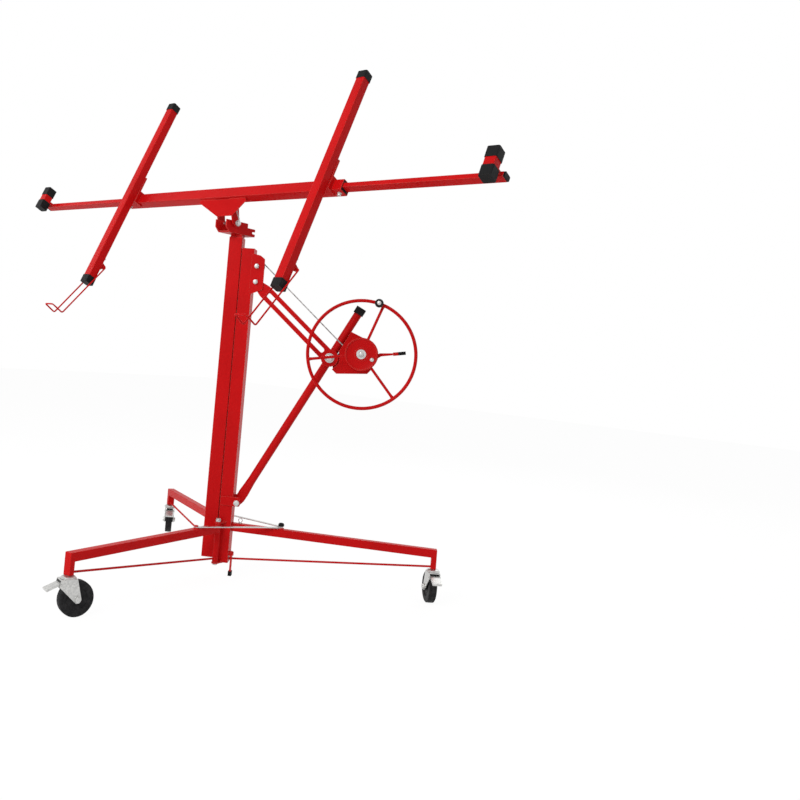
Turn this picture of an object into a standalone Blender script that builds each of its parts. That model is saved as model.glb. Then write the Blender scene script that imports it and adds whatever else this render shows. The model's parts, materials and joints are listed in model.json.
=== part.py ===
"""Drywall lift: tripod base, telescoping mast with a hand winch, and a tilting cradle.

Metres, +Z up. The crossbar of the cradle runs along X, and the sheet side is -Y. The base frame is
turned about the mast, with its own X axis along the front leg.
"""
import bmesh
import bpy
from math import acos, atan2, cos, hypot, pi, radians, sin, tan
from mathutils import Matrix, Vector

# How the lift stands
BASE_TURN = radians(34.0)
LOAD_TILT = radians(24.8)

# Clearances
FIT = 0.0003
SLIDE_GAP = 0.0006
COLUMN_GAP = 0.002

# Mast columns
OUTER_WIDTH = 0.050
OUTER_DEPTH = 0.070
OUTER_WALL = 0.004
OUTER_LIP = 0.013
OUTER_FOOT = 0.071
OUTER_TOP = 1.297
FOOT_PLATE = 0.005
MIDDLE_WIDTH = 0.053
MIDDLE_DEPTH = 0.076
MIDDLE_WALL = 0.003
MIDDLE_FOOT = 0.087
MIDDLE_TOP = 1.338
SHOE_LENGTH = 0.140
INNER_WALL = 0.003
INNER_RISE = 0.012
INNER_FOOT = MIDDLE_FOOT + 0.030
MIDDLE_X = -(COLUMN_GAP + MIDDLE_WIDTH / 2)

# Winch, measured along the brace from the knuckle bolt and to the right of the brace
CLEVIS_X = 0.066
CLEVIS_Z = 0.304
KNUCKLE_X = 0.378
KNUCKLE_Z = 0.894
BRACE_RADIUS = 0.016
BRACE_TOP = 0.226
HUB_ALONG = 0.079
HUB_ASIDE = 0.0963
HOUSING_HALF = 0.030
HOUSING_WALL = 0.004
DRUM_CORE = 0.0255
DRUM_FLANGE = 0.045
SHAFT_RADIUS = 0.009
COVER_RADIUS = 0.064
COVER_DEPTH = 0.022
WHEEL_RIM = 0.204
RIM_RADIUS = 0.0065
RIM_Y = -0.088
SPOKE_TURN = radians(70.0)
DISC_RADIUS = 0.062
DISC_LIP = 0.002
KNOB_RADIUS = 0.0165
PLATE_THICK = 0.005
ARM_HALF = 0.0265
ARM_SLOT = 0.0095
ARM_THICK = 0.0185
PULLEY_X = 0.065
PULLEY_Z = 1.228
PULLEY_RADIUS = 0.029
PULLEY_WIDTH = 0.012
ARM_BOLT_Z = 1.166
BOLT_HEAD = 0.0085

# Cable
CABLE_RADIUS = 0.0025
CABLE_PITCH = 0.0056
CABLE_TURNS = 7
CABLE_Y = -CABLE_PITCH * CABLE_TURNS / 2
PULLEY_RUN = PULLEY_RADIUS - 0.0025
DRUM_RUN = DRUM_CORE + CABLE_RADIUS + 0.0005

# Head and cradle
HEAD_WIDTH = 0.062
HEAD_HEIGHT = 0.048
HEAD_WALL = 0.005
HEAD_FRONT = -0.100
HEAD_BACK = 0.066
HEAD_TAIL = 0.031
SPIGOT_RADIUS = 0.015
TILT_Y = -0.055
TILT_RISE = 0.038
BOLT_RADIUS = 0.006
BAR_SIZE = 0.045
BAR_WALL = 0.003
BAR_HALF = 0.582
BAR_NORMAL = 0.0714
BAR_ALONG = 0.0832
EAR_THICK = 0.005
GUSSET_HALF = 0.125
ARM_TUBE = 0.038
ARM_WALL = 0.0025
ARM_OFFSET = 0.0585
ARM_SPREAD = BAR_HALF - 0.063
ARM_UP = 0.475
ARM_DOWN = 0.448
STRAP_UP = 0.095
STRAP_THICK = 0.0075
CAP_LENGTH = 0.032
CAP_WALL = 0.0018
OUTRIGGER_DEEP = 0.034
OUTRIGGER_TALL = 0.0185
OUTRIGGER_WALL = 0.002
OUTRIGGER_IN = 0.420
OUTRIGGER_TIP = 1.186
TEE_AT = 1.160
TEE_TUBE = 0.0395
TEE_OFFSET = 0.0535
TEE_UP = 0.065
TEE_DOWN = 0.045
TEE_CAP = 0.040
HOOK_WIRE = 0.003
HOOK_PIVOT_DOWN = 0.352
HOOK_PIVOT_BACK = 0.0325
HOOK_DROP = 0.266
HOOK_REACH = 0.090
HOOK_LIP = 0.055

# Legs and casters
FRONT_REACH = 0.832
REAR_REACH = 0.775
REAR_SPREAD = radians(120.0)
HINGE_X = 0.005
HINGE_Y = 0.060
PIN_RADIUS = 0.006
SLEEVE_RADIUS = 0.0115
LEG_TOP = 0.220
LEG_FALL = 0.013
LEG_TALL = 0.030
LEG_WIDE = 0.030
LEG_START = 0.0035
POST_HALF = 0.010
POST_FOOT = 0.134
ROD_RADIUS = 0.004
ROD_IN_Z = 0.090
ROD_OUT_Z = 0.142
STAY_OUT = 0.127
STAY_TIP = 0.243
STAY_WIDE = 0.016
STAY_THICK = 0.0025
STAY_Z = 0.2215
TYRE_RADIUS = 0.059
TYRE_WIDE = 0.029
TRAIL = 0.030
FORK_HALF = 0.0185
FORK_THICK = 0.003
AXLE_RADIUS = 0.006

RED = (0.55, 0.02, 0.02, 1.0)
BLACK = (0.015, 0.015, 0.016, 1.0)
ZINC = (0.62, 0.62, 0.60, 1.0)
STEEL = (0.45, 0.46, 0.47, 1.0)
FINISHES = {"red": (RED, 0.35, 0.0), "black": (BLACK, 0.55, 0.0), "zinc": (ZINC, 0.35, 0.9)}
FINISHES["steel"] = (STEEL, 0.30, 0.9)

for old in list(bpy.data.objects):
    bpy.data.objects.remove(old, do_unlink=True)
PARTS = bpy.data.collections.new("drywall_lift")
CUTTERS = bpy.data.collections.new("drywall_lift_cutters")
bpy.context.scene.collection.children.link(PARTS)
bpy.context.scene.collection.children.link(CUTTERS)


def frame(name, parent=None, at=(0, 0, 0), turn=(0, 0, 0)):
    """An empty that carries pieces; a moving piece's empty stands on its joint's axis."""
    empty = bpy.data.objects.new(name, None)
    empty.empty_display_size = 0.05
    empty.location = at
    empty.rotation_euler = turn
    empty.parent = parent
    PARTS.objects.link(empty)
    return empty


def finish_for(name, finish):
    """A material of its own for the piece."""
    colour, roughness, metallic = FINISHES[finish]
    material = bpy.data.materials.new(name + "_finish")
    material.use_nodes = True
    material.diffuse_color = colour
    shader = material.node_tree.nodes["Principled BSDF"]
    shader.inputs["Base Color"].default_value = colour
    shader.inputs["Roughness"].default_value = roughness
    shader.inputs["Metallic"].default_value = metallic
    return material


def baked(holder):
    """The holder's shape as one welded mesh with outward faces; the holder is removed."""
    PARTS.objects.link(holder)
    depsgraph = bpy.context.evaluated_depsgraph_get()
    mesh = bpy.data.meshes.new_from_object(holder.evaluated_get(depsgraph))
    bpy.data.objects.remove(holder, do_unlink=True)
    shape = bmesh.new()
    shape.from_mesh(mesh)
    bmesh.ops.remove_doubles(shape, verts=shape.verts, dist=0.00002)
    bmesh.ops.dissolve_degenerate(shape, edges=shape.edges, dist=0.00002)
    bmesh.ops.recalc_face_normals(shape, faces=shape.faces)
    shape.to_mesh(mesh)
    shape.free()
    return mesh


def spline_into(curve, points, closed):
    """Add one straight-run spline to a curve."""
    spline = curve.splines.new("POLY")
    spline.points.add(len(points) - 1)
    for knot, point in zip(spline.points, points):
        knot.co = (point[0], point[1], point[2] if len(point) > 2 else 0.0, 1.0)
    spline.use_cyclic_u = closed


def slab(outlines, thick, across="Z", at=(0, 0, 0)):
    """A flat outline, with its holes, given a thickness across one axis.

    Across Z the outline is in XY, across Y it is in XZ, and across X it is in YZ.
    """
    curve = bpy.data.curves.new("outline", "CURVE")
    curve.dimensions = "2D"
    curve.fill_mode = "BOTH"
    curve.extrude = thick / 2
    for points in outlines:
        spline_into(curve, points, True)
    mesh = baked(bpy.data.objects.new("outline", curve))
    if across == "Y":
        mesh.transform(Matrix(((1, 0, 0, 0), (0, 0, -1, 0), (0, 1, 0, 0), (0, 0, 0, 1))))
    if across == "X":
        mesh.transform(Matrix(((0, 0, 1, 0), (1, 0, 0, 0), (0, 1, 0, 0), (0, 0, 0, 1))))
    mesh.transform(Matrix.Translation(at))
    return mesh


def block(low, high):
    """A box between two corners."""
    middle = [(a + b) / 2 for a, b in zip(low, high)]
    half_x = (high[0] - low[0]) / 2
    half_y = (high[1] - low[1]) / 2
    return slab([rectangle(-half_x, -half_y, half_x, half_y)], high[2] - low[2], "Z", middle)


def rectangle(u0, v0, u1, v1):
    return [(u0, v0), (u1, v0), (u1, v1), (u0, v1)]


def circle(u, v, radius, count=16):
    steps = [2 * pi * k / count for k in range(count)]
    return [(u + radius * cos(a), v + radius * sin(a)) for a in steps]


def fillet(points, radius, steps=2):
    """Round every corner of a closed flat outline."""
    rounded = []
    for k, here in enumerate(points):
        corner = Vector(here)
        before = Vector(points[k - 1]) - corner
        after = Vector(points[(k + 1) % len(points)]) - corner
        half = before.angle(after) / 2
        run = min(radius / tan(half), 0.45 * before.length, 0.45 * after.length)
        middle = corner + (before.normalized() + after.normalized()).normalized() * run / cos(half)
        start = corner + before.normalized() * run - middle
        stop = corner + after.normalized() * run - middle
        first = atan2(start.y, start.x)
        sweep = (atan2(stop.y, stop.x) - first + pi) % (2 * pi) - pi
        for step in range(steps + 1):
            angle = first + sweep * step / steps
            rounded.append((middle.x + start.length * cos(angle), middle.y + start.length * sin(angle)))
    return rounded


def bent(points, radius, steps=4, closed=False):
    """Round the corners of a run of points in space."""
    rounded = []
    last = len(points) - 1
    for k, here in enumerate(points):
        corner = Vector(here)
        if not closed and k in (0, last):
            rounded.append(corner)
            continue
        before = Vector(points[k - 1]) - corner
        after = Vector(points[(k + 1) % len(points)]) - corner
        run = min(radius, 0.45 * before.length, 0.45 * after.length)
        start = corner + before.normalized() * run
        stop = corner + after.normalized() * run
        for step in range(steps + 1):
            t = step / steps
            rounded.append(start * (1 - t) ** 2 + corner * 2 * t * (1 - t) + stop * t ** 2)
    return rounded


def wire(points, radius, resolution=2, closed=False):
    """A round rod along a run of points."""
    curve = bpy.data.curves.new("run", "CURVE")
    curve.dimensions = "3D"
    curve.bevel_depth = radius
    curve.bevel_resolution = resolution
    curve.use_fill_caps = not closed
    spline_into(curve, points, closed)
    return baked(bpy.data.objects.new("run", curve))


def turned(profile, along="Z", at=(0, 0, 0), count=24):
    """A profile of (radius, height) points, from top to bottom, turned about an axis."""
    mesh = bpy.data.meshes.new("profile")
    runs = [(k, k + 1) for k in range(len(profile) - 1)]
    mesh.from_pydata([(radius, 0.0, height) for radius, height in profile], runs, [])
    holder = bpy.data.objects.new("profile", mesh)
    screw = holder.modifiers.new("turn", "SCREW")
    screw.steps = count
    screw.render_steps = count
    screw.use_merge_vertices = True
    screw.merge_threshold = 0.00002
    solid = baked(holder)
    if along == "Y":
        solid.transform(Matrix.Rotation(-pi / 2, 4, "X"))
    if along == "X":
        solid.transform(Matrix.Rotation(pi / 2, 4, "Y"))
    solid.transform(Matrix.Translation(at))
    return solid


def ring(profile):
    """A closed profile for a turned piece with a bore: the last point meets the first."""
    return profile + [profile[0]]


def bolt_profile(reach, shank, head, head_tall):
    """A bolt with a head at both ends, centred on its axis."""
    top = reach + head_tall
    half = [(0.0, top), (head * 0.9, top), (head, top - 0.001), (head, reach), (shank, reach)]
    return half + [(radius, -height) for radius, height in reversed(half)]


def piece(name, mesh, parent, finish, at=(0, 0, 0)):
    """A named node of the lift."""
    thing = bpy.data.objects.new(name, mesh)
    mesh.name = name
    mesh.materials.clear()
    mesh.materials.append(finish_for(name, finish))
    thing.location = at
    thing.parent = parent
    PARTS.objects.link(thing)
    return thing


def boolean(thing, mesh, operation):
    """Weld another shape onto a piece, or cut it out; the shape is in the piece's own frame."""
    helper = bpy.data.objects.new(thing.name + "_" + operation.lower(), mesh)
    helper.location = thing.location
    helper.parent = thing.parent
    helper.hide_render = True
    helper.display_type = "WIRE"
    CUTTERS.objects.link(helper)
    step = thing.modifiers.new(operation.lower(), "BOOLEAN")
    step.operation = operation
    step.solver = "EXACT"
    step.object = helper
    return thing


def weld_on(thing, mesh):
    return boolean(thing, mesh, "UNION")


def cut_from(thing, mesh):
    return boolean(thing, mesh, "DIFFERENCE")


def soften(thing, width, segments=2):
    """Round the edges of a piece before anything is welded to it."""
    step = thing.modifiers.new("soften", "BEVEL")
    step.width = width
    step.segments = segments
    step.limit_method = "ANGLE"
    step.angle_limit = radians(40)
    return thing


def box_section(width, depth, wall, corner=0.004):
    """The outline of a rectangular tube with rounded corners, edge first and bore second."""
    edge = fillet(rectangle(-width / 2, -depth / 2, width / 2, depth / 2), corner)
    bore_x = width / 2 - wall
    bore_y = depth / 2 - wall
    bore = fillet(rectangle(-bore_x, -bore_y, bore_x, bore_y), max(corner - wall, 0.001), 2)
    return [edge, bore]


ROOT = frame("lift_origin")
BASE = frame("base_frame", ROOT, (-MIDDLE_X * cos(BASE_TURN), -MIDDLE_X * sin(BASE_TURN), 0),
             (0, 0, BASE_TURN))

# Outer column: a C channel open to the middle column, on a foot plate with the lower hinge ears
half_depth = OUTER_DEPTH / 2
inside = half_depth - OUTER_WALL
web_in = OUTER_WIDTH - OUTER_WALL
lip = half_depth - OUTER_LIP
channel = [(0, -half_depth), (OUTER_WIDTH, -half_depth), (OUTER_WIDTH, half_depth), (0, half_depth)]
channel += [(0, lip), (OUTER_WALL, lip), (OUTER_WALL, inside), (web_in, inside), (web_in, -inside)]
channel += [(OUTER_WALL, -inside), (OUTER_WALL, -lip), (0, -lip)]
outer_tall = OUTER_TOP - OUTER_FOOT
outer = piece("outer_column", slab([channel], outer_tall, "Z", (0, 0, OUTER_FOOT + outer_tall / 2)),
              BASE, "red")


def hinge_ears(side):
    """The outline of a hinge ear on one side of the column, with its pin hole."""
    root = side * (half_depth - 0.001)
    pin_y = side * HINGE_Y
    rim = [(HINGE_X + 0.0135 * cos(side * a), pin_y + 0.0135 * sin(side * a))
           for a in [pi * (k / 8) for k in range(9)]]
    return [[(0.001, root), (0.034, root)] + rim, circle(HINGE_X, pin_y, PIN_RADIUS + FIT)]


ear_z = LEG_TOP + 0.0042
for side in (-1, 1):
    weld_on(outer, slab(hinge_ears(side), FOOT_PLATE, "Z", (0, 0, OUTER_FOOT + FOOT_PLATE / 2)))
    weld_on(outer, slab(hinge_ears(side), FOOT_PLATE, "Z", (0, 0, ear_z + FOOT_PLATE / 2)))
weld_on(outer, block((0.001, 0.001 - half_depth, OUTER_FOOT + 0.0002),
                     (OUTER_WIDTH - 0.001, half_depth - 0.001, OUTER_FOOT + FOOT_PLATE - 0.0004)))
lever_y = -0.020
lever_z = 0.106
stud = [(0.0, 0.0185), (0.008, 0.0185), (0.008, 0.0145), (0.004, 0.0145), (0.004, 0.0075)]
stud += [(0.009, 0.0075), (0.009, -0.001), (0.0, -0.001)]
weld_on(outer, turned(stud, "X", (OUTER_WIDTH, lever_y, lever_z), 16))
cut_from(outer, block((web_in - 0.01, CABLE_Y - PULLEY_WIDTH / 2 - 0.003, PULLEY_Z - 0.034),
                      (OUTER_WIDTH + 0.01, CABLE_Y + PULLEY_WIDTH / 2 + 0.003, PULLEY_Z + 0.034)))

# Middle column with the shoe that runs inside the outer channel
MIDDLE = frame("middle_slide", BASE, (MIDDLE_X, 0, MIDDLE_FOOT))
middle_tall = MIDDLE_TOP - MIDDLE_FOOT
middle = piece("middle_column", slab(box_section(MIDDLE_WIDTH, MIDDLE_DEPTH, MIDDLE_WALL), middle_tall,
                                     "Z", (0, 0, middle_tall / 2)), MIDDLE, "red")
neck = lip - SLIDE_GAP
body = inside - SLIDE_GAP
shoe_in = OUTER_WALL + SLIDE_GAP
shoe_out = web_in - SLIDE_GAP
groove_in = PULLEY_X - PULLEY_RUN - CABLE_RADIUS - 0.002
groove_low = CABLE_Y - CABLE_RADIUS - 0.002
groove_high = CABLE_Y + CABLE_RADIUS + 0.002
face = -COLUMN_GAP - 0.0015
shoe = [(face, -neck), (shoe_in, -neck), (shoe_in, -body), (shoe_out, -body), (shoe_out, groove_low)]
shoe += [(groove_in, groove_low), (groove_in, groove_high), (shoe_out, groove_high), (shoe_out, body)]
shoe += [(shoe_in, body), (shoe_in, neck), (face, neck)]
weld_on(middle, slab([[(x - MIDDLE_X, y) for x, y in shoe]], SHOE_LENGTH, "Z",
                     (0, 0, SHOE_LENGTH / 2 + 0.001)))

# Inner column inside the middle one, closed at the top by a plate with the swivel bore
INNER = frame("inner_slide", MIDDLE, (0, 0, INNER_FOOT - MIDDLE_FOOT))
inner_top = MIDDLE_TOP + INNER_RISE
inner_tall = inner_top - INNER_FOOT
inner_wide = MIDDLE_WIDTH - 2 * MIDDLE_WALL - 2 * SLIDE_GAP
inner_deep = MIDDLE_DEPTH - 2 * MIDDLE_WALL - 2 * SLIDE_GAP
inner = piece("inner_column", slab(box_section(inner_wide, inner_deep, INNER_WALL, 0.0045),
                                   inner_tall, "Z", (0, 0, inner_tall / 2)), INNER, "red")
seat_x = inner_wide / 2 - INNER_WALL / 2
seat_y = inner_deep / 2 - INNER_WALL / 2
weld_on(inner, block((-seat_x, -seat_y, inner_tall - 0.0125), (seat_x, seat_y, inner_tall - 0.0005)))
cut_from(inner, slab([circle(0, 0, SPIGOT_RADIUS + FIT, 24)], 0.05, "Z", (0, 0, inner_tall)))

# Bracket plate at the top of the outer column, with the pulley axle and the arm bolt
plate_y = -(half_depth + FIT + PLATE_THICK / 2)
corner = OUTER_WIDTH - 0.008
plate = [(corner, PULLEY_Z + 0.050), (corner, ARM_BOLT_Z - 0.052), (corner + 0.054, ARM_BOLT_Z - 0.028)]
plate += [(corner + 0.053, PULLEY_Z + 0.030), (corner + 0.035, PULLEY_Z + 0.043)]
plate_mesh = slab([fillet(plate, 0.006)], PLATE_THICK, "Y", (0, plate_y, 0))
bracket = piece("winch_bracket", plate_mesh, BASE, "red")
pulley_far = CABLE_Y + PULLEY_WIDTH / 2 + 0.004
plate_in = plate_y + PLATE_THICK / 2
axle = [(0.0, pulley_far), (BOLT_RADIUS, pulley_far), (BOLT_RADIUS, plate_in - 0.001)]
axle += [(BOLT_HEAD, plate_in - 0.001), (BOLT_HEAD, plate_y - 0.0075), (0.0, plate_y - 0.0075)]
weld_on(bracket, turned(axle, "Y", (PULLEY_X, 0, PULLEY_Z), 16))
arm_y = plate_in + FIT + ARM_THICK / 2
arm_back = arm_y + ARM_THICK / 2
tie = [(0.0, arm_back + 0.005), (BOLT_HEAD, arm_back + 0.005), (BOLT_HEAD, arm_back + FIT)]
tie += [(BOLT_RADIUS, arm_back + FIT), (BOLT_RADIUS, plate_in - 0.001), (BOLT_HEAD, plate_in - 0.001)]
tie += [(BOLT_HEAD, plate_y - 0.0075), (0.0, plate_y - 0.0075)]
weld_on(bracket, turned(tie, "Y", (PULLEY_X, 0, ARM_BOLT_Z), 16))

PULLEY = frame("pulley_axis", BASE, (PULLEY_X, CABLE_Y, PULLEY_Z))
groove_root = PULLEY_RUN - CABLE_RADIUS - 0.0004
sheave = [(BOLT_RADIUS + FIT, 0.006), (PULLEY_RADIUS, 0.006), (PULLEY_RADIUS, 0.0045)]
sheave += [(groove_root, 0.0032), (groove_root, -0.0032), (PULLEY_RADIUS, -0.0045)]
sheave += [(PULLEY_RADIUS, -0.006), (BOLT_RADIUS + FIT, -0.006)]
sheave = [(radius, height * PULLEY_WIDTH / 0.012) for radius, height in sheave]
piece("cable_pulley", turned(ring(sheave), "Y", (0, 0, 0), 24), PULLEY, "black")

# Slotted winch arm from the bracket to the knuckle
run_x = KNUCKLE_X - PULLEY_X
run_z = KNUCKLE_Z - ARM_BOLT_Z
arm_long = hypot(run_x, run_z)
tail = PULLEY_X - OUTER_WIDTH - 0.001
swell = 0.050
ring_radius = ARM_HALF + 0.0075
start_angle = acos(ARM_HALF / ring_radius)
arm_edge = [(tail * cos(a), tail * sin(a)) for a in [pi / 2 + pi * k / 8 for k in range(9)]]
arm_edge += [(swell, -ARM_HALF)]
around = [-pi / 2 - start_angle + (pi + 2 * start_angle) * k / 14 for k in range(15)]
arm_edge += [(arm_long + ring_radius * cos(a), ring_radius * sin(a)) for a in around]
arm_edge += [(swell, ARM_HALF)]
slot = fillet(rectangle(swell + 0.016, -ARM_SLOT, arm_long - 0.034, ARM_SLOT), ARM_SLOT * 0.95, 5)
holes = [circle(0, 0, BOLT_RADIUS + FIT), circle(arm_long, 0, BOLT_RADIUS + FIT)]
arm_mesh = slab([arm_edge, slot] + holes, ARM_THICK, "Y")
arm_mesh.transform(Matrix.Rotation(atan2(-run_z, run_x), 4, "Y"))
arm_mesh.transform(Matrix.Translation((PULLEY_X, arm_y, ARM_BOLT_Z)))
soften(piece("winch_arm", arm_mesh, BASE, "red"), 0.0015, 1)

# Brace tube with a flattened lower end, on a line through the knuckle
brace_lean = atan2(KNUCKLE_X - CLEVIS_X, KNUCKLE_Z - CLEVIS_Z)
brace_long = hypot(KNUCKLE_X - CLEVIS_X, KNUCKLE_Z - CLEVIS_Z)


def brace_section(height, wide, thick):
    """One ring of the brace: an oval as wide and as thick as given."""
    turns = [2 * pi * k / 20 for k in range(20)]
    return [(wide * cos(a), thick * sin(a), height) for a in turns]


def lofted(rings):
    """Skin a run of equal rings and close both ends."""
    count = len(rings[0])
    points = [point for one in rings for point in one]
    faces = [list(range(count)), [len(points) - 1 - k for k in range(count)]]
    for row in range(len(rings) - 1):
        for k in range(count):
            low = row * count
            nxt = (k + 1) % count
            faces.append([low + k, low + nxt, low + nxt + count, low + k + count])
    mesh = bpy.data.meshes.new("loft")
    mesh.from_pydata(points, [], faces)
    return baked(bpy.data.objects.new("loft", mesh))


EYE_THICK = 0.005
rings = [brace_section(-0.0125, 0.009, EYE_THICK), brace_section(-0.009, 0.0125, EYE_THICK)]
rings += [brace_section(0.012, 0.0185, EYE_THICK), brace_section(0.040, 0.0195, EYE_THICK)]
rings += [brace_section(0.075, 0.0172, 0.012), brace_section(0.100, BRACE_RADIUS, BRACE_RADIUS)]
rings += [brace_section(brace_long + BRACE_TOP, BRACE_RADIUS, BRACE_RADIUS)]
brace_mesh = lofted(rings)
BRACE_PLACE = Matrix.Translation((CLEVIS_X, 0, CLEVIS_Z)) @ Matrix.Rotation(brace_lean, 4, "Y")
brace_mesh.transform(BRACE_PLACE)
brace = piece("brace_tube", brace_mesh, BASE, "red")
cut_from(brace, slab([circle(CLEVIS_X, CLEVIS_Z, BOLT_RADIUS + FIT)], 0.05, "Y"))
cut_from(brace, slab([circle(KNUCKLE_X, KNUCKLE_Z, BOLT_RADIUS + FIT)], 0.08, "Y"))

cap_half = 0.0195
cap_mesh = slab([fillet(rectangle(-cap_half, -cap_half, cap_half, cap_half), 0.003)], 0.028, "Z",
                (0, 0, brace_long + BRACE_TOP - 0.010))
cap_mesh.transform(BRACE_PLACE)
brace_cap = piece("brace_cap", cap_mesh, BASE, "black")
socket = slab([circle(0, 0, BRACE_RADIUS + FIT, 20)], 0.05, "Z",
              (0, 0, brace_long + BRACE_TOP + FIT - 0.025))
socket.transform(BRACE_PLACE)
cut_from(brace_cap, socket)

# Lower clevis: a cheek on each side of the outer column and the bolt that joins them
cheek = fillet(rectangle(0.002, CLEVIS_Z - 0.0135, CLEVIS_X + 0.0125, CLEVIS_Z + 0.0215), 0.005)
cheek_y = half_depth + FIT + 0.002
clevis = piece("lower_clevis", slab([cheek], 0.004, "Y", (0, -cheek_y, 0)), BASE, "red")
collar = EYE_THICK + FIT
far = cheek_y + 0.008
spindle = [(0.0, far), (0.010, far), (0.010, collar), (BOLT_RADIUS, collar), (BOLT_RADIUS, -collar)]
spindle += [(0.010, -collar), (0.010, -far), (0.0, -far)]
weld_on(clevis, turned(spindle, "Y", (CLEVIS_X, 0, CLEVIS_Z), 16))
weld_on(clevis, slab([cheek], 0.004, "Y", (0, cheek_y, 0)))

# Knuckle bolt through the arm's ring and the brace
front_face = arm_y - ARM_THICK / 2 - FIT
back_face = BRACE_RADIUS + 0.0008
knuckle = [(0.0, back_face + 0.008), (0.012, back_face + 0.008), (0.012, back_face)]
knuckle += [(BOLT_RADIUS, back_face), (BOLT_RADIUS, front_face), (0.019, front_face)]
knuckle += [(0.019, front_face - 0.002), (0.011, front_face - 0.002), (0.011, front_face - 0.009)]
knuckle += [(0.0, front_face - 0.009)]
piece("knuckle_bolt", turned(knuckle, "Y", (KNUCKLE_X, 0, KNUCKLE_Z), 16), BASE, "zinc")


def beside_brace(along, aside):
    """A point of the winch, along the brace from the knuckle and to the right of it."""
    x = KNUCKLE_X + along * sin(brace_lean) + aside * cos(brace_lean)
    z = KNUCKLE_Z + along * cos(brace_lean) - aside * sin(brace_lean)
    return (x, z)


# Winch housing: two side plates, a fold under the drum and a flange on the brace
HUB_X, HUB_Z = beside_brace(HUB_ALONG, HUB_ASIDE)
flush = BRACE_RADIUS + FIT
clear = ring_radius + 0.004
shell = [beside_brace(-0.405 * HUB_ALONG, 0.322 * HUB_ASIDE)]
shell += [beside_brace(-0.468 * HUB_ALONG, HUB_ASIDE - 0.656 * COVER_RADIUS)]
shell += [beside_brace(0.342 * HUB_ALONG, HUB_ASIDE + 0.906 * COVER_RADIUS)]
shell += [beside_brace(0.615 * HUB_ALONG, HUB_ASIDE + 0.975 * COVER_RADIUS)]
shell += [beside_brace(1.109 * HUB_ALONG, HUB_ASIDE + 0.723 * COVER_RADIUS)]
shell += [beside_brace(1.722 * HUB_ALONG, HUB_ASIDE - 0.422 * COVER_RADIUS)]
shell += [beside_brace(1.658 * HUB_ALONG, flush)]
side_plate = shell + [beside_brace(clear + 0.004, flush)]
side_plate += [beside_brace(0.7 * clear, 0.8 * clear), beside_brace(0, clear + 0.003)]
back_plate = shell + [beside_brace(-0.13 * HUB_ALONG, flush)]
plate_mid = HOUSING_HALF + HOUSING_WALL / 2
bearing = circle(HUB_X, HUB_Z, SHAFT_RADIUS + FIT, 20)
back_mesh = slab([back_plate, bearing], HOUSING_WALL, "Y", (0, plate_mid, 0))
housing = piece("winch_housing", back_mesh, BASE, "red")
fold_low = Vector(side_plate[1])
fold_run = Vector(side_plate[2]) - fold_low
fold_up = Vector((-fold_run.y, fold_run.x)).normalized()
fold = [fold_low + fold_run * 0.03 + fold_up * 0.0002, fold_low + fold_run * 0.97 + fold_up * 0.0002]
fold += [fold_low + fold_run * 0.97 + fold_up * 0.004, fold_low + fold_run * 0.03 + fold_up * 0.004]
weld_on(housing, slab([[tuple(p) for p in fold]], 2 * HOUSING_HALF + HOUSING_WALL, "Y"))
weld_on(housing, slab([side_plate, bearing], HOUSING_WALL, "Y", (0, -plate_mid, 0)))
flange_top = 1.633 * HUB_ALONG
flange = [beside_brace(clear + 0.006, flush + 0.0002), beside_brace(flange_top, flush + 0.0002)]
flange += [beside_brace(flange_top, flush + 0.004), beside_brace(clear + 0.006, flush + 0.004)]
flange_low = CABLE_Y + CABLE_RADIUS + 0.006
flange_high = HOUSING_HALF + HOUSING_WALL / 2
weld_on(housing, slab([flange], flange_high - flange_low, "Y", (0, (flange_high + flange_low) / 2, 0)))

# Drum and shaft, drum cover, handwheel, knob and brake lever, about the hub
HUB = frame("winch_axis", BASE, (HUB_X, 0, HUB_Z))
drum_in = HOUSING_HALF - 0.0035
drum_out = HOUSING_HALF - 0.0006
cover_face = -(HOUSING_HALF + HOUSING_WALL + FIT)
shaft_front = RIM_Y - 0.016
shaft_back = HOUSING_HALF + HOUSING_WALL + 0.006
drum = [(0.0, shaft_back), (SHAFT_RADIUS, shaft_back), (SHAFT_RADIUS, drum_out), (DRUM_FLANGE, drum_out)]
drum += [(DRUM_FLANGE, drum_in), (DRUM_CORE, drum_in), (DRUM_CORE, -drum_in), (DRUM_FLANGE, -drum_in)]
drum += [(DRUM_FLANGE, -drum_out), (SHAFT_RADIUS, -drum_out), (SHAFT_RADIUS, shaft_front)]
drum += [(0.0, shaft_front)]
piece("cable_drum", turned(drum, "Y", (0, 0, 0), 20), HUB, "zinc")
bore = SHAFT_RADIUS + FIT
cover = [(bore, cover_face), (COVER_RADIUS, cover_face), (COVER_RADIUS, cover_face - COVER_DEPTH + 0.006)]
cover += [(COVER_RADIUS - 0.005, cover_face - COVER_DEPTH), (bore, cover_face - COVER_DEPTH)]
drum_cover = piece("drum_cover", turned(ring(cover), "Y", (HUB_X, 0, HUB_Z), 28), BASE, "red")
hub_in = RIM_Y + 0.014
hub_out = RIM_Y - 0.012
disc_back = RIM_Y - 0.004
disc_front = hub_out - DISC_LIP
hub = [(bore, hub_in), (0.020, hub_in), (0.020, disc_back), (DISC_RADIUS, disc_back)]
hub += [(DISC_RADIUS, disc_front), (DISC_RADIUS - 0.005, disc_front)]
hub += [(DISC_RADIUS - 0.007, hub_out), (bore, hub_out)]
wheel = piece("handwheel", turned(ring(hub), "Y", (0, 0, 0), 24), HUB, "red")
rim = [(WHEEL_RIM * cos(a), RIM_Y, WHEEL_RIM * sin(a)) for a in [2 * pi * k / 48 for k in range(48)]]
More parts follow.
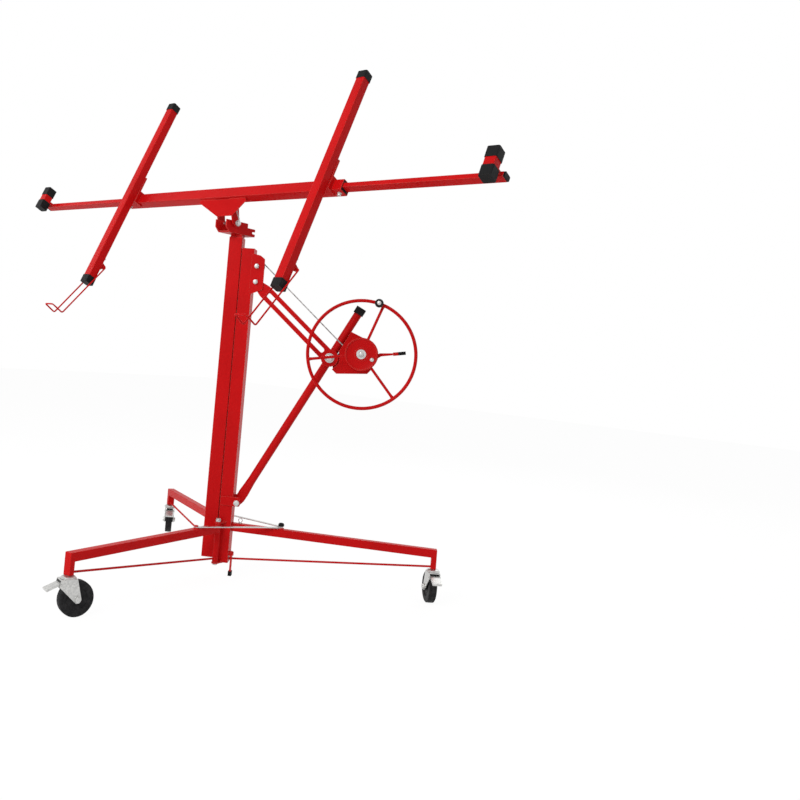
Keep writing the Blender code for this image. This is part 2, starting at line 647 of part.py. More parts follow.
for number in range(3):
    turn = SPOKE_TURN + number * 2 * pi / 3
    out = Vector((cos(turn), 0, sin(turn)))
    shift = Vector((0, RIM_Y, 0))
    weld_on(wheel, wire([out * 0.0145 + shift, out * (WHEEL_RIM + 0.001) + shift], 0.0055))
weld_on(wheel, wire(rim, RIM_RADIUS, 2, True))
knob_at = Vector((WHEEL_RIM * cos(SPOKE_TURN + 0.09), 0, WHEEL_RIM * sin(SPOKE_TURN + 0.09)))
knob_in = RIM_Y - RIM_RADIUS - FIT
knob_out = knob_in - 0.036
stem = [(0.0, RIM_Y), (0.0045, RIM_Y), (0.0045, knob_out - FIT), (0.008, knob_out - FIT)]
stem += [(0.008, knob_out - 0.0025), (0.0, knob_out - 0.0025)]
weld_on(wheel, turned(stem, "Y", knob_at, 16))
KNOB = frame("crank_knob_axis", HUB, knob_at)
grip = [(0.0045 + FIT, knob_in), (0.010, knob_in), (0.0125, knob_in - 0.006), (0.0155, knob_in - 0.016)]
grip += [(KNOB_RADIUS, knob_in - 0.024), (0.0155, knob_in - 0.032), (0.0125, knob_out)]
grip += [(0.0045 + FIT, knob_out)]
piece("crank_knob", turned(ring(grip), "Y", (0, 0, 0), 16), KNOB, "black")

lever_at = (HUB_X + 0.041, cover_face - COVER_DEPTH, HUB_Z - 0.014)
BRAKE = frame("brake_lever_axis", BASE, lever_at)
pivot = [(0.0, 0.001), (0.005, 0.001), (0.005, -0.0068), (0.0085, -0.0068), (0.0085, -0.010), (0.0, -0.010)]
weld_on(drum_cover, turned(pivot, "Y", lever_at, 16))
blade = [(-0.008, -0.004), (0.004, -0.009), (0.034, 0.0125), (0.085, 0.022), (0.085, 0.029)]
blade += [(0.028, 0.024), (-0.007, 0.007)]
lever = piece("brake_lever", slab([fillet(blade, 0.002), circle(0, 0, 0.005 + FIT)], 0.005, "Y",
                                  (0, -0.0032, 0)), BRAKE, "zinc")
tip = wire([(0.078, -0.0032, 0.0247), (0.125, -0.0032, 0.033)], 0.0065, 2)
weld_on(lever, tip)

# Cable: down inside the outer channel, over the pulley, then onto the drum
reach = Vector((HUB_X - PULLEY_X, HUB_Z - PULLEY_Z))
leave = atan2(reach.y, reach.x) + acos((PULLEY_RUN + DRUM_RUN) / reach.length)
drop_x = PULLEY_X - PULLEY_RUN
route = [(drop_x, CABLE_Y, MIDDLE_FOOT + SHOE_LENGTH - 0.020)]
for step in range(13):
    angle = pi + (leave - pi) * step / 12
    route.append((PULLEY_X + PULLEY_RUN * cos(angle), CABLE_Y, PULLEY_Z + PULLEY_RUN * sin(angle)))
wound = [leave + pi + 2 * pi * k / 24 for k in range(24 * CABLE_TURNS + 1)]
for number, angle in enumerate(wound):
    y = CABLE_Y + CABLE_PITCH * number / 24
    route.append((HUB_X + DRUM_RUN * cos(angle), y, HUB_Z + DRUM_RUN * sin(angle)))
end = Vector(route[-1])
for step in (0.4, 1.0):
    route.append(tuple(end + Vector((0, step * (drum_in - FIT - end.y), 0))))
piece("winch_cable", wire(route, CABLE_RADIUS, 1), BASE, "steel")
gap = min((Vector(a) - Vector(b)).length for i, a in enumerate(route[14:]) for b in route[14 + i + 14:])
print("least gap of the cable to itself, mm:", round(1000 * (gap - 2 * CABLE_RADIUS), 3))

# Swivel head on the inner column
SWIVEL = frame("swivel_axis", INNER, (0, 0, inner_tall), (0, 0, -BASE_TURN))
head_low = FIT
head_half = HEAD_WIDTH / 2
head_in = head_half - HEAD_WALL
trough = [(-head_half, head_low), (head_half, head_low), (head_half, head_low + HEAD_HEIGHT)]
trough += [(head_in, head_low + HEAD_HEIGHT), (head_in, head_low + HEAD_WALL)]
trough += [(-head_in, head_low + HEAD_WALL), (-head_in, head_low + HEAD_HEIGHT)]
trough += [(-head_half, head_low + HEAD_HEIGHT)]
head_mesh = slab([trough], HEAD_BACK - HEAD_FRONT, "Y", (0, (HEAD_BACK + HEAD_FRONT) / 2, 0))
head = piece("swivel_head", head_mesh, SWIVEL, "red")
spigot = [(0.0, HEAD_WALL - 0.001), (SPIGOT_RADIUS, HEAD_WALL - 0.001), (SPIGOT_RADIUS, -0.078)]
spigot += [(SPIGOT_RADIUS - 0.003, -0.082), (0.0, -0.082)]
weld_on(head, turned(spigot, "Z", (0, 0, 0), 24))
cut_from(head, slab([circle(TILT_Y, TILT_RISE, BOLT_RADIUS + FIT)], 0.2, "X"))
cut_from(head, block((-HEAD_WIDTH, 0.022, HEAD_TAIL), (HEAD_WIDTH, HEAD_BACK + 0.01, HEAD_HEIGHT + 0.01)))
notch = fillet(rectangle(HEAD_BACK - 0.016, 0.011, HEAD_BACK + 0.02, 0.020), 0.003)
cut_from(head, slab([notch], 0.2, "X"))
slope = [(HEAD_FRONT - 0.01, -0.01), (HEAD_FRONT + 0.030, -0.01), (HEAD_FRONT - 0.01, 0.030)]
cut_from(head, slab([slope], 0.2, "X"))

# Cradle about the tilt bolt: local Z runs up the sheet and local -Y faces it
CRADLE = frame("tilt_axis", SWIVEL, (0, TILT_Y, TILT_RISE), (-LOAD_TILT, 0, 0))
ear_in = head_half + 0.0055
ear_mid = ear_in + EAR_THICK / 2
bar_half = BAR_SIZE / 2
bar_y = -BAR_NORMAL
bar_z = BAR_ALONG
under = bar_z - bar_half - FIT
behind = bar_y + bar_half + FIT
ear = [(-0.018, -0.012), (0.010, -0.013), (0.0165, 0.004), (behind, bar_z + 0.014), (behind, under)]
ear += [(bar_y - 0.012, under)]
ear_hole = circle(0, 0, BOLT_RADIUS + FIT)
gusset_low = Vector(ear[0])
gusset_high = Vector(ear[5])
gusset_run = gusset_high - gusset_low
gusset_lean = atan2(gusset_run.y, gusset_run.x)
gusset_long = gusset_run.length
bottom = 0.30 * gusset_long
top = gusset_long - 0.0022
gusset = [(ear_in + EAR_THICK, bottom), (GUSSET_HALF, top - 0.012), (GUSSET_HALF, top)]
gusset += [(-GUSSET_HALF, top), (-GUSSET_HALF, top - 0.012), (-ear_in - EAR_THICK, bottom)]
tilt = piece("tilt_bracket", slab([ear, ear_hole], EAR_THICK, "X", (ear_mid, 0, 0)), CRADLE, "red")
gusset_mesh = slab([gusset], 0.004, "Z")
gusset_mesh.transform(Matrix.Rotation(gusset_lean, 4, "X"))
gusset_mesh.transform(Matrix.Translation((0, gusset_low.x, gusset_low.y)))
weld_on(tilt, gusset_mesh)
weld_on(tilt, slab([ear, ear_hole], EAR_THICK, "X", (-ear_mid, 0, 0)))
bolt_out = ear_in + EAR_THICK + FIT
piece("tilt_bolt", turned(bolt_profile(bolt_out, BOLT_RADIUS, 0.011, 0.007), "X", (0, 0, 0), 16),
      CRADLE, "zinc")

# Crossbar with a guide welded in each end
bar = piece("crossbar", slab(box_section(BAR_SIZE, BAR_SIZE, BAR_WALL), 2 * BAR_HALF, "X"), CRADLE, "red",
            (0, bar_y, bar_z))
guide_half = bar_half - BAR_WALL + 0.0015
guide_y = OUTRIGGER_DEEP / 2 + SLIDE_GAP
guide_z = OUTRIGGER_TALL / 2 + SLIDE_GAP
guide = [rectangle(-guide_half, -guide_half, guide_half, guide_half)]
guide += [rectangle(-guide_y, -guide_z, guide_y, guide_z)]
for side in (-1, 1):
    weld_on(bar, slab(guide, 0.030, "X", (side * (BAR_HALF - 0.0165), 0, 0)))


def cap(name, width, length, parent, at, up):
    """A black cap over a square tube's end; up is the way its closed end faces."""
    half = width / 2 + FIT + CAP_WALL
    edge = fillet(rectangle(-half, -half, half, half), 0.005, 2)
    thing = piece(name, slab([edge], length, "Z", (0, 0, -up * length / 2)), parent, "black", at)
    inner_half = width / 2 + FIT
    hollow = fillet(rectangle(-inner_half, -inner_half, inner_half, inner_half), 0.0035, 2)
    return cut_from(thing, slab([hollow], length, "Z", (0, 0, -up * (length / 2 + 0.003))))


for side, word in ((-1, "left"), (1, "right")):
    # Outrigger with its inner guide block and the T at its end
    SLIDE = frame("outrigger_" + word + "_slide", CRADLE, (side * BAR_HALF, bar_y, bar_z))
    inner_end = side * (OUTRIGGER_IN - BAR_HALF)
    outer_end = side * (OUTRIGGER_TIP - BAR_HALF)
    tube_long = abs(outer_end - inner_end)
    tube = box_section(OUTRIGGER_DEEP, OUTRIGGER_TALL, OUTRIGGER_WALL, 0.002)
    tube_mesh = slab(tube, tube_long, "X", ((inner_end + outer_end) / 2, 0, 0))
    outrigger = piece("outrigger_" + word, tube_mesh, SLIDE, "red")
    slider = bar_half - BAR_WALL - SLIDE_GAP
    hug_y = OUTRIGGER_DEEP / 2 - 0.001
    hug_z = OUTRIGGER_TALL / 2 - 0.001
    plug = [rectangle(-slider, -slider, slider, slider), rectangle(-hug_y, -hug_z, hug_y, hug_z)]
    weld_on(outrigger, slab(plug, 0.028, "X", (inner_end + side * 0.016, 0, 0)))
    tee_x = side * (TEE_AT - BAR_HALF)
    tee_back = -TEE_OFFSET + TEE_TUBE / 2
    tee_tall = TEE_UP + TEE_DOWN - 0.0066
    tee_mid = (TEE_UP - TEE_DOWN) / 2
    tee = box_section(TEE_TUBE, TEE_TUBE, 0.0025)
    weld_on(outrigger, slab(tee, tee_tall, "Z", (tee_x, -TEE_OFFSET, tee_mid)))
    weld_on(outrigger, block((tee_x - 0.016, tee_back - 0.0012, TEE_CAP - TEE_DOWN + 0.0008),
                             (tee_x + 0.016, 0.001 - OUTRIGGER_DEEP / 2, OUTRIGGER_TALL / 2 - 0.002)))
    cap("tee_top_cap_" + word, TEE_TUBE, TEE_CAP, SLIDE, (tee_x, -TEE_OFFSET, TEE_UP), 1)
    cap("tee_bottom_cap_" + word, TEE_TUBE, TEE_CAP, SLIDE, (tee_x, -TEE_OFFSET, -TEE_DOWN), -1)
    end_x = outer_end + side * (FIT + 0.003)
    flange_y = OUTRIGGER_DEEP / 2
    flange_z = OUTRIGGER_TALL / 2
    end_plug = piece("outrigger_plug_" + word,
                     slab([fillet(rectangle(-flange_y, -flange_z, flange_y, flange_z), 0.003)], 0.006, "X",
                          (end_x, 0, 0)), SLIDE, "black")
    tongue_y = OUTRIGGER_DEEP / 2 - OUTRIGGER_WALL - FIT
    tongue_z = OUTRIGGER_TALL / 2 - OUTRIGGER_WALL - FIT
    tongue = fillet(rectangle(-tongue_y, -tongue_z, tongue_y, tongue_z), 0.0015, 2)
    weld_on(end_plug, slab([tongue], 0.020, "X", (outer_end - side * 0.0077, 0, 0)))

    # Cross arm with its saddle over the crossbar and the hook's ears behind it
    arm_x = side * ARM_SPREAD
    arm_y0 = bar_y - ARM_OFFSET
    arm_wall = arm_y0 + ARM_TUBE / 2 - 0.0012
    arm_tall = ARM_UP + ARM_DOWN - 0.0066
    cross = piece("cross_arm_" + word, slab(box_section(ARM_TUBE, ARM_TUBE, ARM_WALL), arm_tall, "Z",
                                            (0, 0, (ARM_UP - ARM_DOWN) / 2)), CRADLE, "red",
                  (arm_x, arm_y0, bar_z))
    grip_z = bar_half + FIT
    lip_z = grip_z + 0.005
    seat_in = ARM_OFFSET - bar_half - FIT
    saddle = [(arm_wall - arm_y0, -lip_z), (ARM_OFFSET + 0.004, -lip_z), (ARM_OFFSET + 0.004, -grip_z)]
    saddle += [(seat_in, -grip_z), (seat_in, grip_z), (ARM_OFFSET + 0.004, grip_z)]
    saddle += [(ARM_OFFSET + 0.004, lip_z), (arm_wall - arm_y0, lip_z)]
    weld_on(cross, slab([saddle], 0.046, "X"))
    strap_in = arm_wall - arm_y0
    weld_on(cross, block((-0.0215, strap_in, lip_z - 0.001), (0.0215, strap_in + STRAP_THICK, STRAP_UP)))
    pivot_z = -HOOK_PIVOT_DOWN
    knuckles = [(HOOK_PIVOT_BACK + 0.009 * sin(a), pivot_z - 0.009 * cos(a))
                for a in [pi * k / 6 for k in range(7)]]
    lug = [(arm_wall - arm_y0, pivot_z + 0.014), (arm_wall - arm_y0, pivot_z - 0.014)] + knuckles
    lug_hole = circle(HOOK_PIVOT_BACK, pivot_z, HOOK_WIRE + FIT)
    for lug_x in (-0.0135, 0.0135):
        weld_on(cross, slab([lug, lug_hole], 0.004, "X", (lug_x, 0, 0)))
    cap("arm_top_cap_" + word, ARM_TUBE, CAP_LENGTH, CRADLE, (arm_x, arm_y0, bar_z + ARM_UP), 1)
    cap("arm_bottom_cap_" + word, ARM_TUBE, CAP_LENGTH, CRADLE, (arm_x, arm_y0, bar_z - ARM_DOWN), -1)

    # Wire hook on the ears
    HOOK = frame("hook_" + word + "_axis", CRADLE, (arm_x, arm_y0 + HOOK_PIVOT_BACK, bar_z + pivot_z))
    wide = ARM_TUBE / 2 + FIT + CAP_WALL + HOOK_WIRE + 0.0025
    loop = [(-wide, 0, 0), (wide, 0, 0), (wide, -HOOK_REACH, -HOOK_DROP)]
    loop += [(wide - 0.002, -HOOK_REACH - HOOK_LIP, -HOOK_DROP + 0.008)]
    loop += [(-wide + 0.002, -HOOK_REACH - HOOK_LIP, -HOOK_DROP + 0.008), (-wide, -HOOK_REACH, -HOOK_DROP)]
    piece("hook_" + word, wire(bent(loop, 0.008, 3, True), HOOK_WIRE, 2, True), HOOK, "red")

# Legs: a sloping top bar, a post over the caster and a thin rod below


def leg_bar(start, reach_out):
    """The outline of a leg's top bar and post, in the leg's own plane."""
    outer_top = LEG_TOP - LEG_FALL
    return [(start, LEG_TOP - LEG_TALL), (start, LEG_TOP), (reach_out + POST_HALF, outer_top),
            (reach_out + POST_HALF, POST_FOOT), (reach_out - POST_HALF, POST_FOOT),
            (reach_out - POST_HALF, outer_top - LEG_TALL)]


def top_of_leg(start, reach_out, x):
    """The height of a leg's top bar at a distance along it."""
    return LEG_TOP - LEG_FALL * (x - start) / (reach_out + POST_HALF - start)


front_start = OUTER_WIDTH + FIT
front = piece("front_leg", slab([leg_bar(front_start, FRONT_REACH)], LEG_WIDE, "Y"), BASE, "red")
soften(front, 0.002)
weld_on(front, wire([(front_start, 0, ROD_IN_Z - 0.008), (FRONT_REACH - POST_HALF + 0.003, 0, ROD_OUT_Z)],
                    ROD_RADIUS))
boss_z = top_of_leg(front_start, FRONT_REACH, STAY_TIP)
boss = [(0.0, STAY_Z + 0.0068), (0.004, STAY_Z + 0.0068), (0.004, STAY_Z - FIT), (0.012, STAY_Z - FIT)]
boss += [(0.012, boss_z - 0.004), (0.0, boss_z - 0.004)]
weld_on(front, turned(boss, "Z", (STAY_TIP, 0, 0), 20))
ring_x = 0.082
cut_from(front, slab([circle(ring_x, 0, 0.004 + FIT)], 0.2, "Z", (0, 0, LEG_TOP)))
knob_low = STAY_Z + 0.0062
stay_knob = [(0.0, knob_low + 0.013), (0.008, knob_low + 0.012), (0.0115, knob_low + 0.008)]
stay_knob += [(0.0115, knob_low), (0.004 + FIT, knob_low), (0.004 + FIT, knob_low + 0.002)]
stay_knob += [(0.0, knob_low + 0.002)]
piece("stay_knob", turned(stay_knob, "Z", (STAY_TIP, 0, 0), 20), BASE, "black")

RING = frame("lock_pin_axis", BASE, (ring_x, 0, LEG_TOP))
pin_seat = top_of_leg(front_start, FRONT_REACH, ring_x) - LEG_TOP + FIT + 0.0003
pin = [(0.0, pin_seat + 0.006), (0.0065, pin_seat + 0.005), (0.0065, pin_seat), (0.004, pin_seat)]
pin += [(0.004, -LEG_TALL - 0.002), (0.0, -LEG_TALL - 0.004)]
lock_pin = piece("lock_pin", turned(pin, "Z", (0, 0, 0), 16), RING, "zinc")
eye_turns = [2 * pi * k / 16 for k in range(16)]
eye = [(0.0075 * cos(a), 0, pin_seat + 0.0125 + 0.0075 * sin(a)) for a in eye_turns]
weld_on(lock_pin, wire(eye, 0.0016, 1, True))

LOCK = frame("lock_lever_axis", BASE, (OUTER_WIDTH, lever_y, lever_z))
shank = [(-0.009, 0.009), (-0.009, -0.060), (-0.007, -0.072)]
shank += [(0.007, -0.072), (0.009, -0.060), (0.009, 0.009)]
lock_mesh = slab([fillet(shank, 0.004), circle(0, 0, 0.004 + FIT)], 0.006, "X", (0.011, 0, 0))
lock = piece("lock_lever", lock_mesh, LOCK, "zinc")
weld_on(lock, block((0.0045, -0.012, -0.084), (0.0175, 0.012, -0.066)))


def caster(word, parent, at, yaw):
    """Fork with its axle, wheel and brake pedal, about one swivel axis."""
    SWING = frame("caster_" + word + "_swivel", parent, at, (0, 0, yaw))
    crown = 2 * TYRE_RADIUS + 0.0035
    cheek_line = [(-0.030, crown), (-0.034, crown - 0.020), (TRAIL - 0.012, TYRE_RADIUS - 0.006)]
    cheek_line += [(TRAIL - 0.004, TYRE_RADIUS - 0.013), (TRAIL + 0.006, TYRE_RADIUS - 0.012)]
    cheek_line += [(TRAIL + 0.013, TYRE_RADIUS), (0.026, crown)]
    cheek_side = FORK_HALF + FORK_THICK / 2
    brake_hole = circle(-0.027, crown - 0.013, 0.003 + FIT, 12)
    cheek = slab([cheek_line, brake_hole], FORK_THICK, "Y", (0, -cheek_side, 0))
    fork = piece("caster_fork_" + word, cheek, SWING, "zinc")
    full = FORK_HALF + FORK_THICK
    deck = fillet([(-0.030, -full), (0.026, -full), (0.026, full), (-0.030, full)], 0.002, 2)
    weld_on(fork, slab([deck], 0.003, "Z", (0, 0, crown + 0.0008)))
    weld_on(fork, slab([cheek_line, brake_hole], FORK_THICK, "Y", (0, cheek_side, 0)))
    race = [(0.0, POST_FOOT - FIT), (0.017, POST_FOOT - FIT), (0.023, POST_FOOT - 0.004)]
    race += [(0.023, crown + 0.003), (0.018, crown + 0.001), (0.0, crown + 0.001)]
    weld_on(fork, turned(race, "Z", (0, 0, 0), 16))
    axle_end = full + 0.004
    spindle_line = [(0.0, axle_end), (0.009, axle_end), (0.009, full - 0.001), (AXLE_RADIUS, full - 0.001)]
    spindle_line += [(radius, -height) for radius, height in reversed(spindle_line)]
    weld_on(fork, turned(spindle_line, "Y", (TRAIL, 0, TYRE_RADIUS), 12))
    ROLL = frame("caster_" + word + "_axle", SWING, (TRAIL, 0, TYRE_RADIUS))
    half = TYRE_WIDE / 2
    hub_half = FORK_HALF - FIT
    tread = [(AXLE_RADIUS + FIT, hub_half), (0.013, hub_half), (0.014, half - 0.004), (0.036, half - 0.004)]
    tread += [(0.038, half), (TYRE_RADIUS - 0.005, half), (TYRE_RADIUS, half - 0.005)]
    tread += [(radius, -height) for radius, height in reversed(tread)]
    piece("caster_wheel_" + word, turned(ring(tread), "Y", (0, 0, 0), 22), ROLL, "black")
    PRESS = frame("caster_" + word + "_brake_axis", SWING, (-0.027, 0, crown - 0.013))
    rod_half = FORK_HALF + FORK_THICK + 0.002
    pedal = [(-0.006, 0.005), (0.004, 0.005), (0.004, -0.004), (-0.012, -0.006), (-0.046, -0.020)]
    pedal += [(-0.050, -0.014), (-0.047, -0.011), (-0.016, 0.001)]
    press = piece("caster_brake_" + word, slab([pedal], 2 * FORK_HALF - 0.003, "Y"), PRESS, "zinc")
    weld_on(press, turned([(0.0, rod_half), (0.003, rod_half), (0.003, -rod_half), (0.0, -rod_half)], "Y",
                          (0, 0, 0), 12))


caster("front", BASE, (FRONT_REACH, 0, 0), radians(102))

for side, word, yaw in ((-1, "left", radians(40)), (1, "right", radians(102))):
    leg_turn = side * REAR_SPREAD
    HINGE = frame("rear_leg_" + word + "_hinge", BASE, (HINGE_X, side * HINGE_Y, 0), (0, 0, leg_turn))
    leg_out = REAR_REACH - HINGE_Y * 0.8
    leg = piece("rear_leg_" + word, slab([leg_bar(LEG_START, leg_out)], LEG_WIDE, "Y"), HINGE, "red")
    soften(leg, 0.002)
    weld_on(leg, wire([(0.0045, 0, ROD_IN_Z), (leg_out - POST_HALF + 0.003, 0, ROD_OUT_Z)], ROD_RADIUS))
    sleeve_low = OUTER_FOOT + FOOT_PLATE + FIT
    sleeve_high = ear_z - FIT
    weld_on(leg, slab([circle(0, 0, SLEEVE_RADIUS, 20)], sleeve_high - sleeve_low, "Z",
                      (0, 0, (sleeve_high + sleeve_low) / 2)))
    stay_low = STAY_Z + (STAY_THICK + FIT if side > 0 else 0.0)
    stud_low = top_of_leg(LEG_START, leg_out, STAY_OUT) - 0.004
    stud_line = [(0.0, stay_low + STAY_THICK + 0.005), (0.008, stay_low + STAY_THICK + 0.005)]
    stud_line += [(0.008, stay_low + STAY_THICK + FIT), (0.004, stay_low + STAY_THICK + FIT)]
    stud_line += [(0.004, stay_low - FIT), (0.010, stay_low - FIT), (0.010, stud_low), (0.0, stud_low)]
    weld_on(leg, turned(stud_line, "Z", (STAY_OUT, 0, 0), 16))
    cut_from(leg, slab([circle(0, 0, PIN_RADIUS + FIT, 16)], 1.0, "Z"))
    top_z = ear_z + FOOT_PLATE + FIT
    low_z = OUTER_FOOT - FIT
    hinge_pin = [(0.0, top_z + 0.007), (0.010, top_z + 0.007), (0.010, top_z), (PIN_RADIUS, top_z)]
    hinge_pin += [(PIN_RADIUS, low_z), (0.009, low_z), (0.009, low_z - 0.005), (0.0, low_z - 0.005)]
    piece("hinge_pin_" + word, turned(hinge_pin, "Z", (HINGE_X, side * HINGE_Y, 0), 16), BASE, "zinc")

    # Stay bar with an eye at the leg and a side-open hook at the front leg's stud
    from_x = HINGE_X + STAY_OUT * cos(leg_turn)
    from_y = side * HINGE_Y + STAY_OUT * sin(leg_turn)
    stay_turn = atan2(-from_y, STAY_TIP - from_x)
    stay_long = hypot(-from_y, STAY_TIP - from_x)
    STAY = frame("stay_" + word + "_pivot", HINGE, (STAY_OUT, 0, stay_low), (0, 0, stay_turn - leg_turn))
    half = STAY_WIDE / 2
    ends = [pi / 2 + pi * k / 8 for k in range(9)]
    bar_line = [(half * cos(a), half * sin(a)) for a in ends]
    bar_line += [(stay_long - half * cos(a), -half * sin(a)) for a in ends]
    stay = piece("stay_" + word, slab([bar_line, circle(0, 0, 0.004 + FIT)], STAY_THICK, "Z",
                                      (0, 0, STAY_THICK / 2)), STAY, "zinc")
    open_way = side * radians(-106)
    gape = 0.0052
    mouth = [(0.016, -gape), (0.016, gape)]
    mouth += [(gape * cos(a), gape * sin(a)) for a in ends]
    mouth = [(stay_long + u * cos(open_way) - v * sin(open_way), u * sin(open_way) + v * cos(open_way))
             for u, v in mouth]
    cut_from(stay, slab([mouth], 0.02, "Z"))
    caster("rear_" + word, HINGE, (leg_out, 0, 0), yaw - leg_turn)

# The origin goes to the middle of the footprint on the floor
bpy.context.view_layer.update()
graph = bpy.context.evaluated_depsgraph_get()
corners = []
for thing in PARTS.objects:
    if thing.type == "MESH":
        solid = thing.evaluated_get(graph)
        corners += [solid.matrix_world @ vertex.co for vertex in solid.data.vertices]
lows = [min(point[axis] for point in corners) for axis in range(3)]
highs = [max(point[axis] for point in corners) for axis in range(3)]
ROOT.location = (-(lows[0] + highs[0]) / 2, -(lows[1] + highs[1]) / 2, -lows[2])
bpy.context.view_layer.update()
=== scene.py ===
"""Looks of the drywall lift: finishes for the frame, smooth turned and bent pieces, and the stage."""

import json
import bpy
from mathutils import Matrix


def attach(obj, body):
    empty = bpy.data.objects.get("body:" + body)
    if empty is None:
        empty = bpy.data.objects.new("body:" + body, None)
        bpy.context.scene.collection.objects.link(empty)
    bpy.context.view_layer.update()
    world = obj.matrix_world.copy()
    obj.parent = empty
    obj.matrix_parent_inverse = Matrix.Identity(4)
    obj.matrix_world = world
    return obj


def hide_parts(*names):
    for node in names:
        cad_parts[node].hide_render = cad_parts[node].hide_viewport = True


bl_info = {
    "name": "Drywall lift looks",
    "version": (1, 0, 0),
    "blender": (4, 5, 0),
    "location": "View3D > Sidebar > Lift",
    "description": "Dresses the packed drywall lift in powder coat, zinc, rubber and plastic",
    "category": "Object",
}

from math import cos, pi, radians, sin

import bmesh
import bpy
import numpy as np
from bpy.props import FloatProperty, FloatVectorProperty, IntProperty, PointerProperty
from mathutils import Matrix, Vector

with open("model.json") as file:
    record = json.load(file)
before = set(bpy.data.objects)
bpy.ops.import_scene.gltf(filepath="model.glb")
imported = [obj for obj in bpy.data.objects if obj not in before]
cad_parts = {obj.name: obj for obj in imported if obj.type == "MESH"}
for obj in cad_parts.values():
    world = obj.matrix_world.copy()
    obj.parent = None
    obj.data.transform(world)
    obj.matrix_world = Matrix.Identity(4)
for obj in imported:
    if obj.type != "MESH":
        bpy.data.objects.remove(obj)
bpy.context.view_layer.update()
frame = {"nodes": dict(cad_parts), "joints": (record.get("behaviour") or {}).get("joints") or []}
NODES = frame["nodes"]

# Where the joints stand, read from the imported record
ANCHOR = {joint["name"]: np.array(joint["pos_m"]) for joint in frame["joints"] if "pos_m" in joint}
AXIS = {joint["name"]: np.array(joint["axis"], float) for joint in frame["joints"]}
UP = np.array((0.0, 0.0, 1.0))
SIDEWAYS = np.array((1.0, 0.0, 0.0))

# The base frame: X along the front leg, -Y towards the handwheel, origin on the mast at the floor
HINGE_X = 0.005
BASE_X = AXIS["floor_lock_swing"]
FRONT = AXIS["winch_turn"]
BASE_Y = -FRONT
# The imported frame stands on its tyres' facets, a little inside their radius; FLOOR_DROP makes up for it
HINGES = (ANCHOR["rear_leg_left_fold"] + ANCHOR["rear_leg_right_fold"]) / 2
TYRE_RADIUS = 0.059
AXLE_HEIGHT = ANCHOR["caster_front_roll"][2]
FLOOR_DROP = AXLE_HEIGHT - TYRE_RADIUS
BASE_AT = np.array((HINGES[0], HINGES[1], FLOOR_DROP)) - HINGE_X * BASE_X
BASE = np.array((BASE_X, BASE_Y, UP))

# The cradle frame: X along the crossbar, Z up the sheet, -Y towards the sheet
LOAD_TILT = radians(24.8)
CRADLE_AT = ANCHOR["cradle_tilt"]
CRADLE = np.array((SIDEWAYS, (0.0, cos(LOAD_TILT), -sin(LOAD_TILT)), (0.0, sin(LOAD_TILT), cos(LOAD_TILT))))

# Sizes shared with the frame, in metres
CABLE_RADIUS = 0.0025
CABLE_PITCH = 0.0056
CABLE_TURNS = 7
CABLE_Y = -CABLE_PITCH * CABLE_TURNS / 2
CABLE_FOOT = 0.207
PULLEY_X, PULLEY_Z = 0.065, 1.228
PULLEY_RUN = 0.0265
DRUM_RUN = 0.0285
RIM_Y = -0.088
SPOKE_COUNT = 3
SPOKE_TURN = radians(70.0)
KNOB_TURN = SPOKE_TURN + 0.09
KNOB_GAP = 0.0068
KNOB_TALL = 0.036
KNOB_BORE = 0.0049
BAR_Y, BAR_Z = -0.0714, 0.0832
BAR_HALF_SIZE = 0.0225
BAR_HALF = 0.582
BAR_UNDER = BAR_Z - BAR_HALF_SIZE
ARM_SPREAD = 0.519
ARM_Y = BAR_Y - 0.0585
FORK_HALF = 0.0215
RACE_Z = 0.1215 + 0.0015
HINGE_TOP = 0.2366
MAST_SIDE = 0.0456
CLEVIS_X, CLEVIS_Z = 0.066, 0.304
LEVER_OUT, LEVER_UP = 0.125, 0.033
LEVER_TIP = 0.101
LOCK_TIP = 0.066

# Steps and gaps of the dressed pieces, in metres
HAIR = 0.0002
ROPE_STEP = 0.0016
HOOK_STEP = 0.003
BEAD_STEP = 0.0007
BEAD_RIPPLE = 0.00448
BEAD, FINE_BEAD = 0.0018, 0.0016

# Bolt heads: width across the flats, height, radius of the washer
HEADS = {
    "plate": (0.0140, 0.0042, 0.0092),
    "knuckle": (0.0200, 0.0060, 0.0135),
    "clevis": (0.0165, 0.0045, 0.0112),
    "brake": (0.0125, 0.0040, 0.0088),
    "hinge": (0.0160, 0.0045, 0.0112),
    "tilt": (0.0180, 0.0050, 0.0122),
    "stop": (0.0130, 0.0090, 0.0085),
    "lug": (0.0085, 0.0035, 0.0062),
    "disc": (0.0105, 0.0042, 0.0078),
    "axle": (0.0185, 0.0055, 0.0122),
}
# Bolts on the handwheel's side of the mast: their heads and places in the base frame
MAST_BOLTS = (("plate", (PULLEY_X, -MAST_SIDE, PULLEY_Z)), ("plate", (PULLEY_X, -MAST_SIDE, 1.166)),
              ("knuckle", (0.378, -0.0447, 0.894)), ("clevis", (CLEVIS_X, -MAST_SIDE, CLEVIS_Z)))

# Finishes: depth of the relief in metres, shine, and the colours that only tint
PEEL_DEPTH = 0.00010
PAINT_EDGE, PLASTIC_EDGE = 0.0022, 0.0016
PAINT_SPECULAR, PLASTIC_SPECULAR = 0.07, 0.10
TIP_ROUGHNESS = 0.52
RED_DUST = (0.50, 0.10, 0.08, 1.0)
BARE_METAL = (0.30, 0.27, 0.26, 1.0)
SCUFFED_PLASTIC = (0.045, 0.044, 0.046, 1.0)
WORN_PLASTIC = (0.085, 0.083, 0.084, 1.0)
GREY_RUBBER = (0.034, 0.033, 0.034, 1.0)
TREAD_DUST = (0.16, 0.15, 0.14, 1.0)
TARNISH = (0.26, 0.25, 0.23, 1.0)
GREASE = (0.17, 0.16, 0.15, 1.0)

